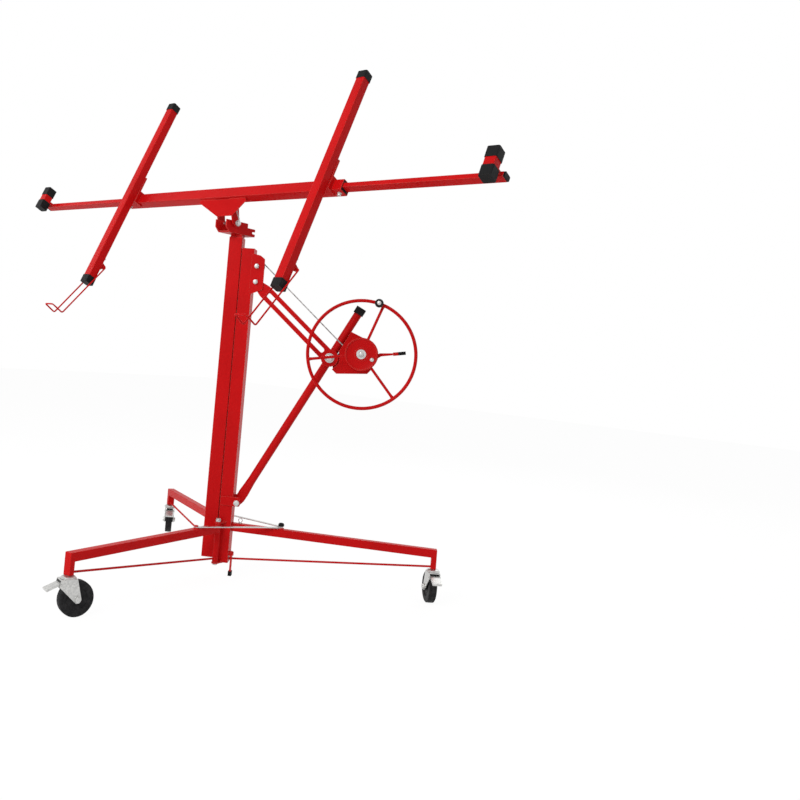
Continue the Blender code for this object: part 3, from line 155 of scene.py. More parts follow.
# The stage
FLOOR_HALF = 14.0
FLOOR_Z = -0.0002
FLOOR_GREY = (0.86, 0.86, 0.86, 1)
FLOOR_GLOW = 1.05
FLOOR_SHOWN = 0.90
WHITE = (1, 1, 1, 1)
LAMP_SIZE = 2.6
LAMP_AIM = (0.1, 0.1, 1.0)
SENSOR = 36.0

CASTERS = ("front", "rear_left", "rear_right")
SIDES = ("left", "right")

RED_NODES = ("outer_column middle_column inner_column winch_bracket winch_arm brace_tube lower_clevis "
             "winch_housing drum_cover swivel_head tilt_bracket crossbar outrigger_left outrigger_right "
             "cross_arm_left cross_arm_right front_leg rear_leg_left rear_leg_right").split()
BLACK_NODES = ("cable_pulley brace_cap tee_top_cap_left tee_top_cap_right tee_bottom_cap_left "
               "tee_bottom_cap_right outrigger_plug_left outrigger_plug_right arm_top_cap_left "
               "arm_top_cap_right arm_bottom_cap_left arm_bottom_cap_right stay_knob").split()
ZINC_NODES = ("knuckle_bolt cable_drum tilt_bolt hinge_pin_left hinge_pin_right stay_left stay_right "
              "lock_pin caster_fork_front caster_fork_rear_left caster_fork_rear_right caster_brake_front "
              "caster_brake_rear_left caster_brake_rear_right").split()


class Value:
    """A number, colour or vector inside a node tree; the operators add Math nodes."""

    def __init__(self, owner, socket):
        self.owner = owner
        self.socket = socket

    def __add__(self, other):
        return self.owner.math("ADD", self, other)

    def __sub__(self, other):
        return self.owner.math("SUBTRACT", self, other)

    def __rsub__(self, other):
        return self.owner.math("SUBTRACT", other, self)

    def __mul__(self, other):
        return self.owner.math("MULTIPLY", self, other)

    def clamped(self, low, high):
        """0 below low, 1 above high, and a smooth rise between them."""
        settings = {"interpolation_type": "SMOOTHSTEP"}
        return self.owner.node("ShaderNodeMapRange", settings, {0: self, 1: low, 2: high})

    __radd__ = __add__
    __rmul__ = __mul__


class Shading:
    """A tree of shader nodes."""

    def __init__(self, tree):
        self.tree = tree

    def node(self, kind, settings, sockets, output=0):
        """Add a node of any type: its settings first, then the values or links of its sockets."""
        made = self.tree.nodes.new(kind)
        for name, value in settings.items():
            setattr(made, name, value)
        for name, value in sockets.items():
            self.feed(made.inputs[name], value)
        return Value(self, made.outputs[output])

    def feed(self, socket, value):
        """Link a value to a socket, or set the socket to a plain number or colour."""
        if isinstance(value, Value):
            self.tree.links.new(value.socket, socket)
        else:
            socket.default_value = value

    def math(self, operation, first, second):
        return self.node("ShaderNodeMath", {"operation": operation}, {0: first, 1: second})

    def shown(self):
        """1 for the rays that show the surround: camera, glossy and transmission rays."""
        camera, glossy, through = [self.node("ShaderNodeLightPath", {}, {}, "Is " + kind + " Ray")
                                   for kind in ("Camera", "Glossy", "Transmission")]
        return self.math("MAXIMUM", self.math("MAXIMUM", camera, glossy), through)

    def blend(self, factor, first, second, output):
        """Mix two shaders into an output node's surface."""
        mixed = self.node("ShaderNodeMixShader", {}, {0: factor, 1: first, 2: second})
        self.feed(self.tree.nodes[output].inputs["Surface"], mixed)


class Recipe(Shading):
    """One material: a Principled shader and the nodes that feed it."""

    def __init__(self, name):
        self.material = bpy.data.materials.new(name)
        self.material.use_nodes = True
        super().__init__(self.material.node_tree)
        self.shader = self.tree.nodes["Principled BSDF"]
        self.place = self.node("ShaderNodeTexCoord", {}, {}, "Object")

    def noise(self, scale, detail=2.0, rough=0.5, place=None):
        sockets = {"Vector": place or self.place, "Scale": scale, "Detail": detail, "Roughness": rough}
        return self.node("ShaderNodeTexNoise", {}, sockets)

    def stretched(self, scale):
        """Object coordinates squeezed or stretched along each axis."""
        return self.node("ShaderNodeMapping", {}, {"Vector": self.place, "Scale": scale})

    def mix(self, factor, first, second):
        """Colours go through a Mix node."""
        return self.node("ShaderNodeMix", {"data_type": "RGBA"}, {0: factor, 6: first, 7: second}, 2)

    def edge(self, radius):
        """Near 0 on flat metal and rising at its edges, from how far a bevelled normal turns away."""
        rounded = self.node("ShaderNodeBevel", {"samples": 4}, {"Radius": radius})
        normal = self.node("ShaderNodeNewGeometry", {}, {}, "Normal")
        facing = self.node("ShaderNodeVectorMath", {"operation": "DOT_PRODUCT"}, {0: rounded, 1: normal}, 1)
        return 1.0 - facing

    def beyond(self, point, direction, soft=0.0006):
        """1 past a point along a direction, 0 before it."""
        along = self.node("ShaderNodeVectorMath", {"operation": "DOT_PRODUCT"},
                          {0: self.place, 1: tuple(direction)}, 1)
        start = float(np.dot(point, direction))
        return along.clamped(start - soft, start + soft)

    def finish(self, colour, roughness, height, depth, **fixed):
        """Join the results to the shader; fixed numbers go straight onto its sockets."""
        bump = self.node("ShaderNodeBump", {}, {"Strength": 1.0, "Distance": depth, "Height": height})
        self.feed(self.shader.inputs["Base Color"], colour)
        self.feed(self.shader.inputs["Roughness"], roughness)
        self.feed(self.shader.inputs["Normal"], bump)
        for name, value in fixed.items():
            self.shader.inputs[name.replace("_", " ")].default_value = value


def paint_layers(recipe, looks):
    """Colour, roughness and height of the red powder coat: orange peel, paler edges that are thin coat plus
    a painted highlight, dust and chips.
    """
    peel = recipe.noise(420.0)
    cloud = recipe.noise(5.0, detail=3.0)
    dust = recipe.noise(46.0, detail=5.0, rough=0.62)
    grit = recipe.noise(310.0, detail=4.0, rough=0.7)
    edge = recipe.edge(PAINT_EDGE)
    # Paler edges: partly thin powder coat, partly a painted highlight along every edge
    thin_coat_and_highlight = edge.clamped(0.02, 0.22)
    chip = (edge + grit * 0.55).clamped(0.60, 0.66)
    bright = recipe.mix(cloud.clamped(0.30, 0.72), looks.red_deep, looks.red)
    dusty = recipe.mix(dust.clamped(0.58, 0.86) * 0.10, bright, RED_DUST)
    with_thin_coat_and_highlight = recipe.mix(thin_coat_and_highlight * 0.6, dusty, looks.red_edge_and_highlight)
    colour = recipe.mix(chip * 0.8, with_thin_coat_and_highlight, BARE_METAL)
    roughness = 0.30 + dust * 0.14 + chip * 0.25
    height = peel * 0.7 + cloud * 0.2 - chip * 0.8
    return colour, roughness, height


def powder_coat(name, looks, tip_at=None, tip_along=None):
    """Red powder coat, with a black dipped tip past a point where one is given."""
    recipe = Recipe(name)
    colour, roughness, height = paint_layers(recipe, looks)
    if tip_at is not None:
        tip = recipe.beyond(tip_at, tip_along)
        colour = recipe.mix(tip, colour, looks.black)
        roughness = roughness * (1.0 - tip) + tip * TIP_ROUGHNESS
    recipe.finish(colour, roughness, height, PEEL_DEPTH, Specular_IOR_Level=PAINT_SPECULAR)


def black_plastic(looks):
    """Moulded plastic: fine spark grain, soft scuffs that catch more light, and paler worn edges."""
    recipe = Recipe("black_moulded_plastic")
    grain = recipe.noise(1500.0)
    scuff = recipe.noise(38.0, detail=5.0, rough=0.65)
    worn = recipe.edge(PLASTIC_EDGE).clamped(0.03, 0.25)
    colour = recipe.mix(scuff.clamped(0.50, 0.85) * 0.5, looks.black, SCUFFED_PLASTIC)
    colour = recipe.mix(worn * 0.5, colour, WORN_PLASTIC)
    roughness = 0.40 + scuff * 0.26
    height = grain * 0.6 + scuff * 0.4
    recipe.finish(colour, roughness, height, 0.00012, Specular_IOR_Level=PLASTIC_SPECULAR)


def wheel_rubber(looks):
    """Hard rubber: mottled black, dusty in patches, with fine moulding pits."""
    recipe = Recipe("caster_rubber")
    pits = recipe.noise(800.0, detail=3.0)
    mottle = recipe.noise(70.0, detail=4.0, rough=0.6)
    dust = recipe.noise(190.0, detail=5.0, rough=0.7)
    colour = recipe.mix(mottle.clamped(0.35, 0.75), looks.rubber, GREY_RUBBER)
    colour = recipe.mix(dust.clamped(0.60, 0.82) * 0.35, colour, TREAD_DUST)
    roughness = 0.42 + mottle * 0.22
    height = pits * 0.7 + mottle * 0.3
    recipe.finish(colour, roughness, height, 0.00014, Specular_IOR_Level=PLASTIC_SPECULAR)


def zinc_plate(looks):
    """Zinc plating: cloudy spangle, fine rolling lines and darker tarnish in patches."""
    recipe = Recipe("bright_zinc")
    spangle = recipe.node("ShaderNodeTexVoronoi", {}, {"Vector": recipe.place, "Scale": 190.0}, "Color")
    tone = recipe.node("ShaderNodeSeparateColor", {}, {0: spangle})
    lines = recipe.noise(900.0, place=recipe.stretched((1.0, 1.0, 0.05)))
    tarnish = recipe.noise(26.0, detail=5.0, rough=0.62)
    colour = recipe.mix(tone * 0.6 + lines * 0.2, looks.zinc_dark, looks.zinc)
    colour = recipe.mix(tarnish.clamped(0.55, 0.85) * 0.5, colour, TARNISH)
    roughness = 0.24 + tone * 0.10 + tarnish * 0.14
    recipe.finish(colour, roughness, lines * 0.5 + tone * 0.2, 0.00005, Metallic=0.85)


def rope_steel(looks):
    """Wire rope: bright wires with fine relief, and dark grease in patches."""
    recipe = Recipe("wire_rope_steel")
    wires = recipe.noise(1400.0)
    grease = recipe.noise(120.0, detail=4.0, rough=0.6)
    colour = recipe.mix(grease.clamped(0.38, 0.75), looks.steel, GREASE)
    roughness = 0.30 + grease * 0.28
    recipe.finish(colour, roughness, wires, 0.00008, Metallic=0.9)


def skin(rows, wrap_rows=False):
    """Cover a grid of points with four-sided faces; columns wrap round, and open ends get a lid."""
    index = np.arange(rows.shape[0] * rows.shape[1]).reshape(rows.shape[:2])
    if wrap_rows:
        index = np.vstack([index, index[:1]])
    index = np.hstack([index, index[:, :1]])
    cells = np.stack([index[:-1, :-1], index[:-1, 1:], index[1:, 1:], index[1:, :-1]], axis=-1)
    faces = cells.reshape(-1, 4).tolist()
    if not wrap_rows:
        faces += [index[0, :-1][::-1].tolist(), index[-1, :-1].tolist()]
    return rows.reshape(-1, 3), faces


def unit(vectors):
    return vectors / np.linalg.norm(vectors, axis=-1, keepdims=True)


def round_trip(count):
    return np.linspace(0.0, 2 * pi, count, endpoint=False)


def aimed(direction, axes):
    """A direction of a local frame in the row frame: x X + y Y + z Z."""
    return np.asarray(direction, float) @ np.asarray(axes)


def in_frame(points, at, axes):
    """Points of a local frame in the row frame: at + x X + y Y + z Z."""
    return np.asarray(at) + aimed(points, axes)


def axes_about(axis, lead=UP):
    """A frame whose Z is the axis; lead is any direction across it."""
    axis = unit(np.asarray(axis, float))
    if abs(np.dot(axis, lead)) > 0.9:
        lead = SIDEWAYS
    across = unit(np.cross(lead, axis))
    return np.array((across, np.cross(axis, across), axis))


def turned(profile, at, axis, steps=64):
    """A surface of revolution: each (radius, height) goes to radius cos a, radius sin a, height.

    A profile that starts clear of the axis is closed on itself, as a washer's is.
    """
    radius, height = np.array(profile, float).T
    angle = round_trip(steps)
    high = np.repeat(height[:, None], steps, axis=1)
    rows = np.stack([np.outer(radius, np.cos(angle)), np.outer(radius, np.sin(angle)), high], axis=-1)
    return skin(in_frame(rows, at, axes_about(axis)), wrap_rows=radius[0] > 0.0)


def swept(path, radius, sides, guide, closed=False):
    """A round section carried along a path: path + radius (cos a across + sin a over).

    The radius is one number, one for each point of the path, or one for each point and side.
    """
    path = np.asarray(path, float)
    ahead = np.roll(path, -1, axis=0) - np.roll(path, 1, axis=0)
    if not closed:
        ahead[0] = path[1] - path[0]
        ahead[-1] = path[-1] - path[-2]
    ahead = unit(ahead)
    across = unit(np.cross(guide, ahead))
    over = np.cross(ahead, across)
    angle = round_trip(sides)
    reach = np.asarray(radius, float)
    if reach.ndim == 1:
        reach = reach[:, None]
    reach = np.broadcast_to(reach, (len(path), sides))
    swing = np.cos(angle)[None, :, None] * across[:, None] + np.sin(angle)[None, :, None] * over[:, None]
    return skin(path[:, None] + reach[..., None] * swing, wrap_rows=closed)


def bent(points, radius, steps=8):
    """A closed run of points with each corner rounded by a quadratic arc."""
    corner = np.asarray(points, float)
    before = np.roll(corner, 1, axis=0) - corner
    after = np.roll(corner, -1, axis=0) - corner
    start = corner + unit(before) * radius
    stop = corner + unit(after) * radius
    t = np.linspace(0.0, 1.0, steps)[None, :, None]
    arcs = start[:, None] * (1 - t) ** 2 + corner[:, None] * 2 * t * (1 - t) + stop[:, None] * t ** 2
    return arcs.reshape(-1, 3)


def resampled(path, spacing, closed=False):
    """The same run of points with one about every spacing, by length along it."""
    if closed:
        path = np.vstack([path, path[:1]])
    length = np.concatenate([[0.0], np.cumsum(np.linalg.norm(np.diff(path, axis=0), axis=1))])
    keep = np.concatenate([[True], np.diff(length) > 1e-7])
    count = max(int(length[-1] / spacing), 2)
    at = np.linspace(0.0, length[-1], count + 1)
    run = np.stack([np.interp(at, length[keep], path[keep, axis]) for axis in range(3)], axis=-1)
    return run[:-1] if closed else run


def washer(at, axis, hole, radius, thick):
    """A flat ring with rounded corners."""
    soft = min(thick, 0.002) * 0.3
    profile = [(hole, 0.0), (radius - soft, 0.0), (radius, soft), (radius, thick - soft)]
    profile += [(radius - soft, thick), (hole + soft, thick), (hole, thick - soft)]
    return turned(profile, at, axis, 40)


def hex_head(at, axis, flat, tall):
    """A six-sided head: radius = half flat / cos(a), folded every 60 degrees, chamfered on top."""
    angle = round_trip(72)
    fold = np.mod(angle, pi / 3) - pi / 6
    half = flat / 2
    side = half / np.cos(fold)
    rings = [(side, 0.0), (side, tall * 0.82), (np.minimum(side, half * 1.04), tall * 0.92)]
    rings += [(np.full_like(side, half * 0.94), tall), (np.full_like(side, flat * 0.18), tall * 1.02)]
    rows = [np.stack([r * np.cos(angle), r * np.sin(angle), np.full_like(r, h)], axis=-1) for r, h in rings]
    return skin(in_frame(np.array(rows), at, axes_about(axis)))


def bolt(at, axis, kind):
    """A washer and the six-sided head on it."""
    flat, tall, wide = HEADS[kind]
    thick, gap, hole = 0.0016, 0.0001, 0.0022
    over = np.asarray(at) + unit(np.asarray(axis, float)) * (thick + gap)
    return [washer(at, axis, hole, wide, thick), hex_head(over, axis, flat, tall)]


def weld_bead(start, stop, radius, guide):
    """A run of weld: a round section with a radius that shrinks at both ends and ripples along it.

    The ripple is 1 + 0.13 sin(2 pi distance / length of a ripple).
    """
    count = max(int(np.linalg.norm(np.subtract(stop, start)) / BEAD_STEP), 12)
    along = np.linspace(0.0, 1.0, count)
    ripple = 1.0 + 0.13 * np.sin(2 * pi * along * count * BEAD_STEP / BEAD_RIPPLE)
    taper = np.sqrt(np.clip(1.0 - (2 * along - 1.0) ** 8, 0.05, 1.0))
    return swept(np.linspace(start, stop, count), radius * ripple * taper, 10, guide)


def piece(name, shells, material, body, sharp=35.0):
    """Join shells of points and faces into one object that rides on a body of the frame."""
    points = np.concatenate([shell[0] for shell in shells])
    starts = np.cumsum([0] + [len(shell[0]) for shell in shells[:-1]])
    faces = [[int(start) + corner for corner in face]
             for start, shell in zip(starts, shells) for face in shell[1]]
    mesh = bpy.data.meshes.new(name)
    mesh.from_pydata(points.tolist(), [], faces)
    shape = bmesh.new()
    shape.from_mesh(mesh)
    bmesh.ops.remove_doubles(shape, verts=shape.verts, dist=1e-6)
    bmesh.ops.recalc_face_normals(shape, faces=shape.faces)
    shape.to_mesh(mesh)
    shape.free()
    mesh.shade_smooth()
    mesh.set_sharp_from_angle(angle=radians(sharp))
    mesh.materials.append(material)
    thing = bpy.data.objects.new(name, mesh)
    bpy.context.scene.collection.objects.link(thing)
    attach(thing, body)
    return thing


def material(name):
    return bpy.data.materials[name]


def in_base(x, y, z):
    return in_frame((x, y, z), BASE_AT, BASE)


def in_cradle(x, y, z):
    return in_frame((x, y, z), CRADLE_AT, CRADLE)


def colour_setting(name, description, default):
    return FloatVectorProperty(name=name, description=description, subtype="COLOR", size=4, min=0, max=1,
                               default=default)


def length_setting(name, description, default):
    return FloatProperty(name=name, description=description, default=default, unit="LENGTH")


class LiftFinishes(bpy.types.PropertyGroup):
    """Colours of the finishes."""

    red: colour_setting("Red", "Powder coat in full light", (0.64, 0.006, 0.007, 1))
    red_deep: colour_setting("Deep red", "Powder coat in its darker clouds", (0.57, 0.005, 0.006, 1))
    # Paler red at the edges: thin coat, and a painted highlight
    red_edge_and_highlight: colour_setting("Red at edges", "Powder coat where it is thin", (0.86, 0.22, 0.17, 1))
    black: colour_setting("Black", "Moulded caps and knobs", (0.008, 0.008, 0.0085, 1))
    rubber: colour_setting("Rubber", "Caster tyres", (0.013, 0.013, 0.014, 1))
    zinc: colour_setting("Zinc", "Bright plating", (0.72, 0.72, 0.70, 1))
    zinc_dark: colour_setting("Dark zinc", "Dull plating", (0.46, 0.46, 0.45, 1))
    steel: colour_setting("Steel", "Wire rope", (0.50, 0.50, 0.50, 1))


class LiftSizes(bpy.types.PropertyGroup):
    """Sizes of the dressed pieces."""

    rim: length_setting("Wheel rim", "Radius of the handwheel at its rim's middle", 0.204)
    rim_wire: length_setting("Rim wire", "Radius of the rim's round bar", 0.0065)
    spoke: length_setting("Spoke", "Radius of a spoke", 0.0053)
    hook_wire: length_setting("Hook wire", "Radius of the hook's wire", 0.003)
    rope_lay: length_setting("Rope lay", "Length of one twist of the wire rope", 0.034)
    strands: IntProperty(name="Strands", description="Strands round the wire rope", default=6, min=3)
    edge: length_setting("Edge", "Width of the rounding on the frame's edges", 0.0007)


class LiftStage(bpy.types.PropertyGroup):
    """Camera and light."""

    eye: FloatVectorProperty(name="Eye", description="Where the camera stands", subtype="XYZ",
                             unit="LENGTH", default=(2.45348, -2.40441, 0.9151))
    yaw: FloatProperty(name="Yaw", description="Turn of the camera from +Y towards +X", subtype="ANGLE",
                       default=-0.73094)
    pitch: FloatProperty(name="Pitch", description="Rise of the camera's aim", subtype="ANGLE",
                         default=0.05227)
    roll: FloatProperty(name="Roll", description="Lean of the camera", subtype="ANGLE", default=-0.08658)
    lens: FloatProperty(name="Lens", description="Focal length on a 36 mm sensor, in millimetres",
                        default=40.03)
    shift: FloatVectorProperty(name="Shift", description="Lens shift that frames the lift", size=2,
                               default=(0.17, -0.125))
    key: FloatProperty(name="Key light", description="Power of the large front light, in watts",
                       default=120.0)
    fill: FloatProperty(name="Fill light", description="Power of the side light, in watts", default=40.0)
    ambient: FloatProperty(name="Ambient", description="Strength of the light from all round", default=0.42)


class LIFT_OT_finishes(bpy.types.Operator):
    """Mix the powder coat, plastic, rubber, zinc and rope steel"""

    bl_idname = "lift.finishes"
    bl_label = "Finishes"

    def execute(self, context):
        looks = context.scene.lift_finishes
        powder_coat("red_powder_coat", looks)
        black_plastic(looks)
        wheel_rubber(looks)
        zinc_plate(looks)
        rope_steel(looks)
        reach = unit(LEVER_OUT * BASE_X + LEVER_UP * UP)
        powder_coat("brake_lever_coat", looks, ANCHOR["brake_release"] + reach * LEVER_TIP, reach)
        powder_coat("lock_lever_coat", looks, ANCHOR["floor_lock_swing"] - LOCK_TIP * UP, -UP)
        return {"FINISHED"}


class LIFT_OT_frame(bpy.types.Operator):
    """Give every piece of the frame its finish, a smooth surface and rounded edges"""

    bl_idname = "lift.frame"
    bl_label = "Frame"

    def execute(self, context):
        edge = context.scene.lift_sizes.edge
        coats = {name: "red_powder_coat" for name in RED_NODES}
        coats.update({name: "black_moulded_plastic" for name in BLACK_NODES})
        coats.update({name: "bright_zinc" for name in ZINC_NODES})
        coats["brake_lever"] = "brake_lever_coat"
        coats["lock_lever"] = "lock_lever_coat"
        for name, coat in coats.items():
            self.dress(NODES[name], material(coat), edge)
        return {"FINISHED"}

    @staticmethod
    def dress(node, coat, edge):
        """Merge, round and smooth a node by modifiers; its own points stay as they are."""
        mesh = node.data
        for layer in ("custom_normal", "sharp_edge", "sharp_face"):
            if layer in mesh.attributes:
                mesh.attributes.remove(mesh.attributes[layer])
        mesh.materials.clear()
        mesh.materials.append(coat)
        weld = node.modifiers.new("merge", "WELD")
        weld.merge_threshold = 0.00002
        flat = node.modifiers.new("flats", "DECIMATE")
        flat.decimate_type = "DISSOLVE"
        flat.angle_limit = radians(0.5)
        bevel = node.modifiers.new("edges", "BEVEL")
        bevel.width = edge
        bevel.segments = 2
        bevel.limit_method = "ANGLE"
        bevel.angle_limit = radians(38)
        bevel.use_clamp_overlap = True
        smooth = node.modifiers.new("smooth", "WEIGHTED_NORMAL")
        smooth.keep_sharp = True


class LIFT_OT_handwheel(bpy.types.Operator):
    """Build the handwheel: a round rim, three spokes, the disc on its hub, the knob's stem and the nuts"""

    bl_idname = "lift.handwheel"
    bl_label = "Handwheel"

    def execute(self, context):
        sizes = context.scene.lift_sizes
        hub = ANCHOR["winch_turn"]
        angle = round_trip(160)
        plane = np.stack([np.cos(angle), np.zeros_like(angle), np.sin(angle)], axis=-1)
        rim = in_frame(plane * sizes.rim + (0.0, RIM_Y, 0.0), hub, BASE)
        shells = [swept(rim, sizes.rim_wire, 20, FRONT, closed=True)]
        for number in range(SPOKE_COUNT):
            shells.append(self.spoke(hub, SPOKE_TURN + number * 2 * pi / SPOKE_COUNT, sizes))
        shells.append(turned(self.disc(), hub - RIM_Y * FRONT, FRONT, 96))
        knob = hub + aimed((sizes.rim * cos(KNOB_TURN), 0.0, sizes.rim * sin(KNOB_TURN)), BASE)
        stem, foot, top = 0.0044, -RIM_Y, 0.1308
        shells.append(turned([(0.0, foot), (stem, foot), (stem, top), (0.0, top)], knob, FRONT, 24))
        made = piece("handwheel_smooth", shells, material("red_powder_coat"), "winch")
        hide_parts("handwheel")
        piece("handwheel_nuts", self.nuts(hub, knob), material("bright_zinc"), "winch")
        return {"FINISHED"}

    @staticmethod
    def nuts(hub, knob):
        """The shaft's washer, nut and rounded end, the end of the knob's stem and a bolt on the disc."""
        shaft = hub + FRONT * 0.1045
        shaft_end = [(0.0, 0.009), (0.0045, 0.0085), (0.0050, 0.0075), (0.0050, 0.0), (0.0, 0.0)]
        stem_end = [(0.0, 0.1345), (0.0055, 0.1342), (0.0078, 0.1328), (0.0080, 0.1310), (0.0, 0.1310)]
        shells = [washer(hub + FRONT * 0.1002, FRONT, hole=0.0092, radius=0.0185, thick=0.0022)]
        shells.append(hex_head(shaft - FRONT * 0.0018, FRONT, flat=0.017, tall=0.0075))
        shells.append(turned(shaft_end, shaft, FRONT, 32))
        shells.append(turned(stem_end, knob, FRONT, 32))
        return shells + bolt(in_frame((0.0415, -0.0982, -0.0175), hub, BASE), FRONT, "disc")

    @staticmethod
    def disc():
        """The hub's sleeve, then the flat disc with a raised lip: (radius, height) from the rim's plane."""
        return [(0.0093, -0.014), (0.019, -0.014), (0.020, -0.013), (0.020, 0.004), (0.0612, 0.004),
                (0.0620, 0.0050), (0.0620, 0.0134), (0.0614, 0.0140), (0.0584, 0.0140), (0.0578, 0.0134),
                (0.0574, 0.0104), (0.0566, 0.0100), (0.0260, 0.0100), (0.0240, 0.0120), (0.0093, 0.0120)]

    @staticmethod
    def spoke(hub, turn, sizes):
        """A straight bar that swells where it is welded: radius + 2.2 mm exp(-distance / 4 mm)."""
        inside, sleeve = 0.0145, 0.0195
        out = aimed((cos(turn), 0.0, sin(turn)), BASE)
        start = in_frame((0.0, RIM_Y, 0.0), hub, BASE)
        along = np.linspace(inside, sizes.rim, 70)
        near = np.minimum(along - sleeve, sizes.rim - sizes.rim_wire - along).clip(0.0, 1.0)
        swell = sizes.spoke + 0.0022 * np.exp(-near / 0.004)
        return swept(start + along[:, None] * out, np.minimum(swell, sizes.rim_wire), 16, FRONT)


class LIFT_OT_knob(bpy.types.Operator):
    """Build the crank knob: a turned grip with finger grooves"""

    bl_idname = "lift.knob"
    bl_label = "Crank knob"

    def execute(self, context):
        at = ANCHOR["knob_spin"]
        front = AXIS["knob_spin"]
        shell = turned(self.grip(np.dot(in_base(0, RIM_Y - KNOB_GAP, 0) - at, front)), at, front, 48)
        made = piece("crank_knob_grip", [shell], material("black_moulded_plastic"), "knob")
        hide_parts("crank_knob")
        return {"FINISHED"}

    @staticmethod
    def grip(near):
        """Radius 10.5 mm + 6 mm sin(pi (0.82 t + 0.05))^0.8, less six grooves, t from 0 to 1."""
        along = np.linspace(0.0, 1.0, 60)
        swell = 0.0105 + 0.0060 * np.sin(pi * np.clip(along * 0.82 + 0.05, 0, 1)) ** 0.8
        grooves = 0.00045 * np.exp(-((np.mod(along * 6.0, 1.0) - 0.5) / 0.16) ** 2)
        outside = list(zip(swell - grooves, near + along * KNOB_TALL))
        return [(KNOB_BORE, near)] + outside + [(KNOB_BORE, near + KNOB_TALL)]


class LIFT_OT_cable(bpy.types.Operator):
    """Build the wire rope: up inside the mast, over the pulley and round the drum"""

    bl_idname = "lift.cable"
    bl_label = "Cable"

    def execute(self, context):
        """The strands give the section radius R (0.86 + 0.14 |cos(strands (a - 2 pi s / lay) / 2)|)."""
        sizes = context.scene.lift_sizes
        hub = (ANCHOR["winch_turn"] - BASE_AT) @ BASE.T
        path = resampled(self.route(hub[0], hub[2]), ROPE_STEP)
        run = in_frame(path, BASE_AT, BASE)
        length = np.linspace(0.0, len(run) * ROPE_STEP, len(run))
        twist = round_trip(24)[None, :] - 2 * pi * length[:, None] / sizes.rope_lay
        radius = CABLE_RADIUS * (0.86 + 0.14 * np.abs(np.cos(twist * sizes.strands / 2)))
        made = piece("wire_rope", [swept(run, radius, 24, BASE_Y)], material("wire_rope_steel"), "base",
                     sharp=60.0)
        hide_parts("winch_cable")
        return {"FINISHED"}

    @staticmethod
    def route(hub_x, hub_z):
        """Points in the base frame: a straight drop, an arc on the pulley, then a helix on the drum.

        The rope leaves the pulley on the line that touches the pulley's run and the drum's run
        from opposite sides.
        """
        reach = np.array((hub_x - PULLEY_X, hub_z - PULLEY_Z))
        span = np.linalg.norm(reach)
        leave = np.arctan2(reach[1], reach[0]) + np.arccos((PULLEY_RUN + DRUM_RUN) / span)
        over = np.linspace(pi, leave, 40)
        arc = np.stack([PULLEY_X + PULLEY_RUN * np.cos(over), np.full_like(over, CABLE_Y),
                        PULLEY_Z + PULLEY_RUN * np.sin(over)], axis=-1)
        wound = leave + pi + np.linspace(0.0, 2 * pi * CABLE_TURNS, 72 * CABLE_TURNS)
        sideways = CABLE_Y + CABLE_PITCH * (wound - wound[0]) / (2 * pi)
        helix = np.stack([hub_x + DRUM_RUN * np.cos(wound), sideways,
                          hub_z + DRUM_RUN * np.sin(wound)], axis=-1)
        foot = np.array([(PULLEY_X - PULLEY_RUN, CABLE_Y, CABLE_FOOT)])
        return np.concatenate([foot, arc, helix])


class LIFT_OT_hooks(bpy.types.Operator):
    """Build the two wire hooks that hold the sheet's lower edge"""

    bl_idname = "lift.hooks"
    bl_label = "Hooks"

    def execute(self, context):
        wire = context.scene.lift_sizes.hook_wire
        wide, reach, drop, lip = 0.0266, 0.090, 0.266, 0.055
        pinch, rise, bend = 0.002, 0.008, 0.008
        # A direction that no stretch of the wire runs along
        aside = unit(aimed((0.31, 0.93, -0.27), CRADLE))
        for word in SIDES:
            loop = [(-wide, 0, 0), (wide, 0, 0), (wide, -reach, -drop)]
            loop += [(wide - pinch, -reach - lip, rise - drop), (pinch - wide, -reach - lip, rise - drop)]
            loop += [(-wide, -reach, -drop)]
            run = resampled(bent(loop, bend), HOOK_STEP, closed=True)
            placed = in_frame(run, ANCHOR["hook_" + word + "_swing"], CRADLE)
            shell = swept(placed, wire, 16, aside, closed=True)
            made = piece("hook_wire_" + word, [shell], material("red_powder_coat"), "hook_" + word)
            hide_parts("hook_" + word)
        return {"FINISHED"}


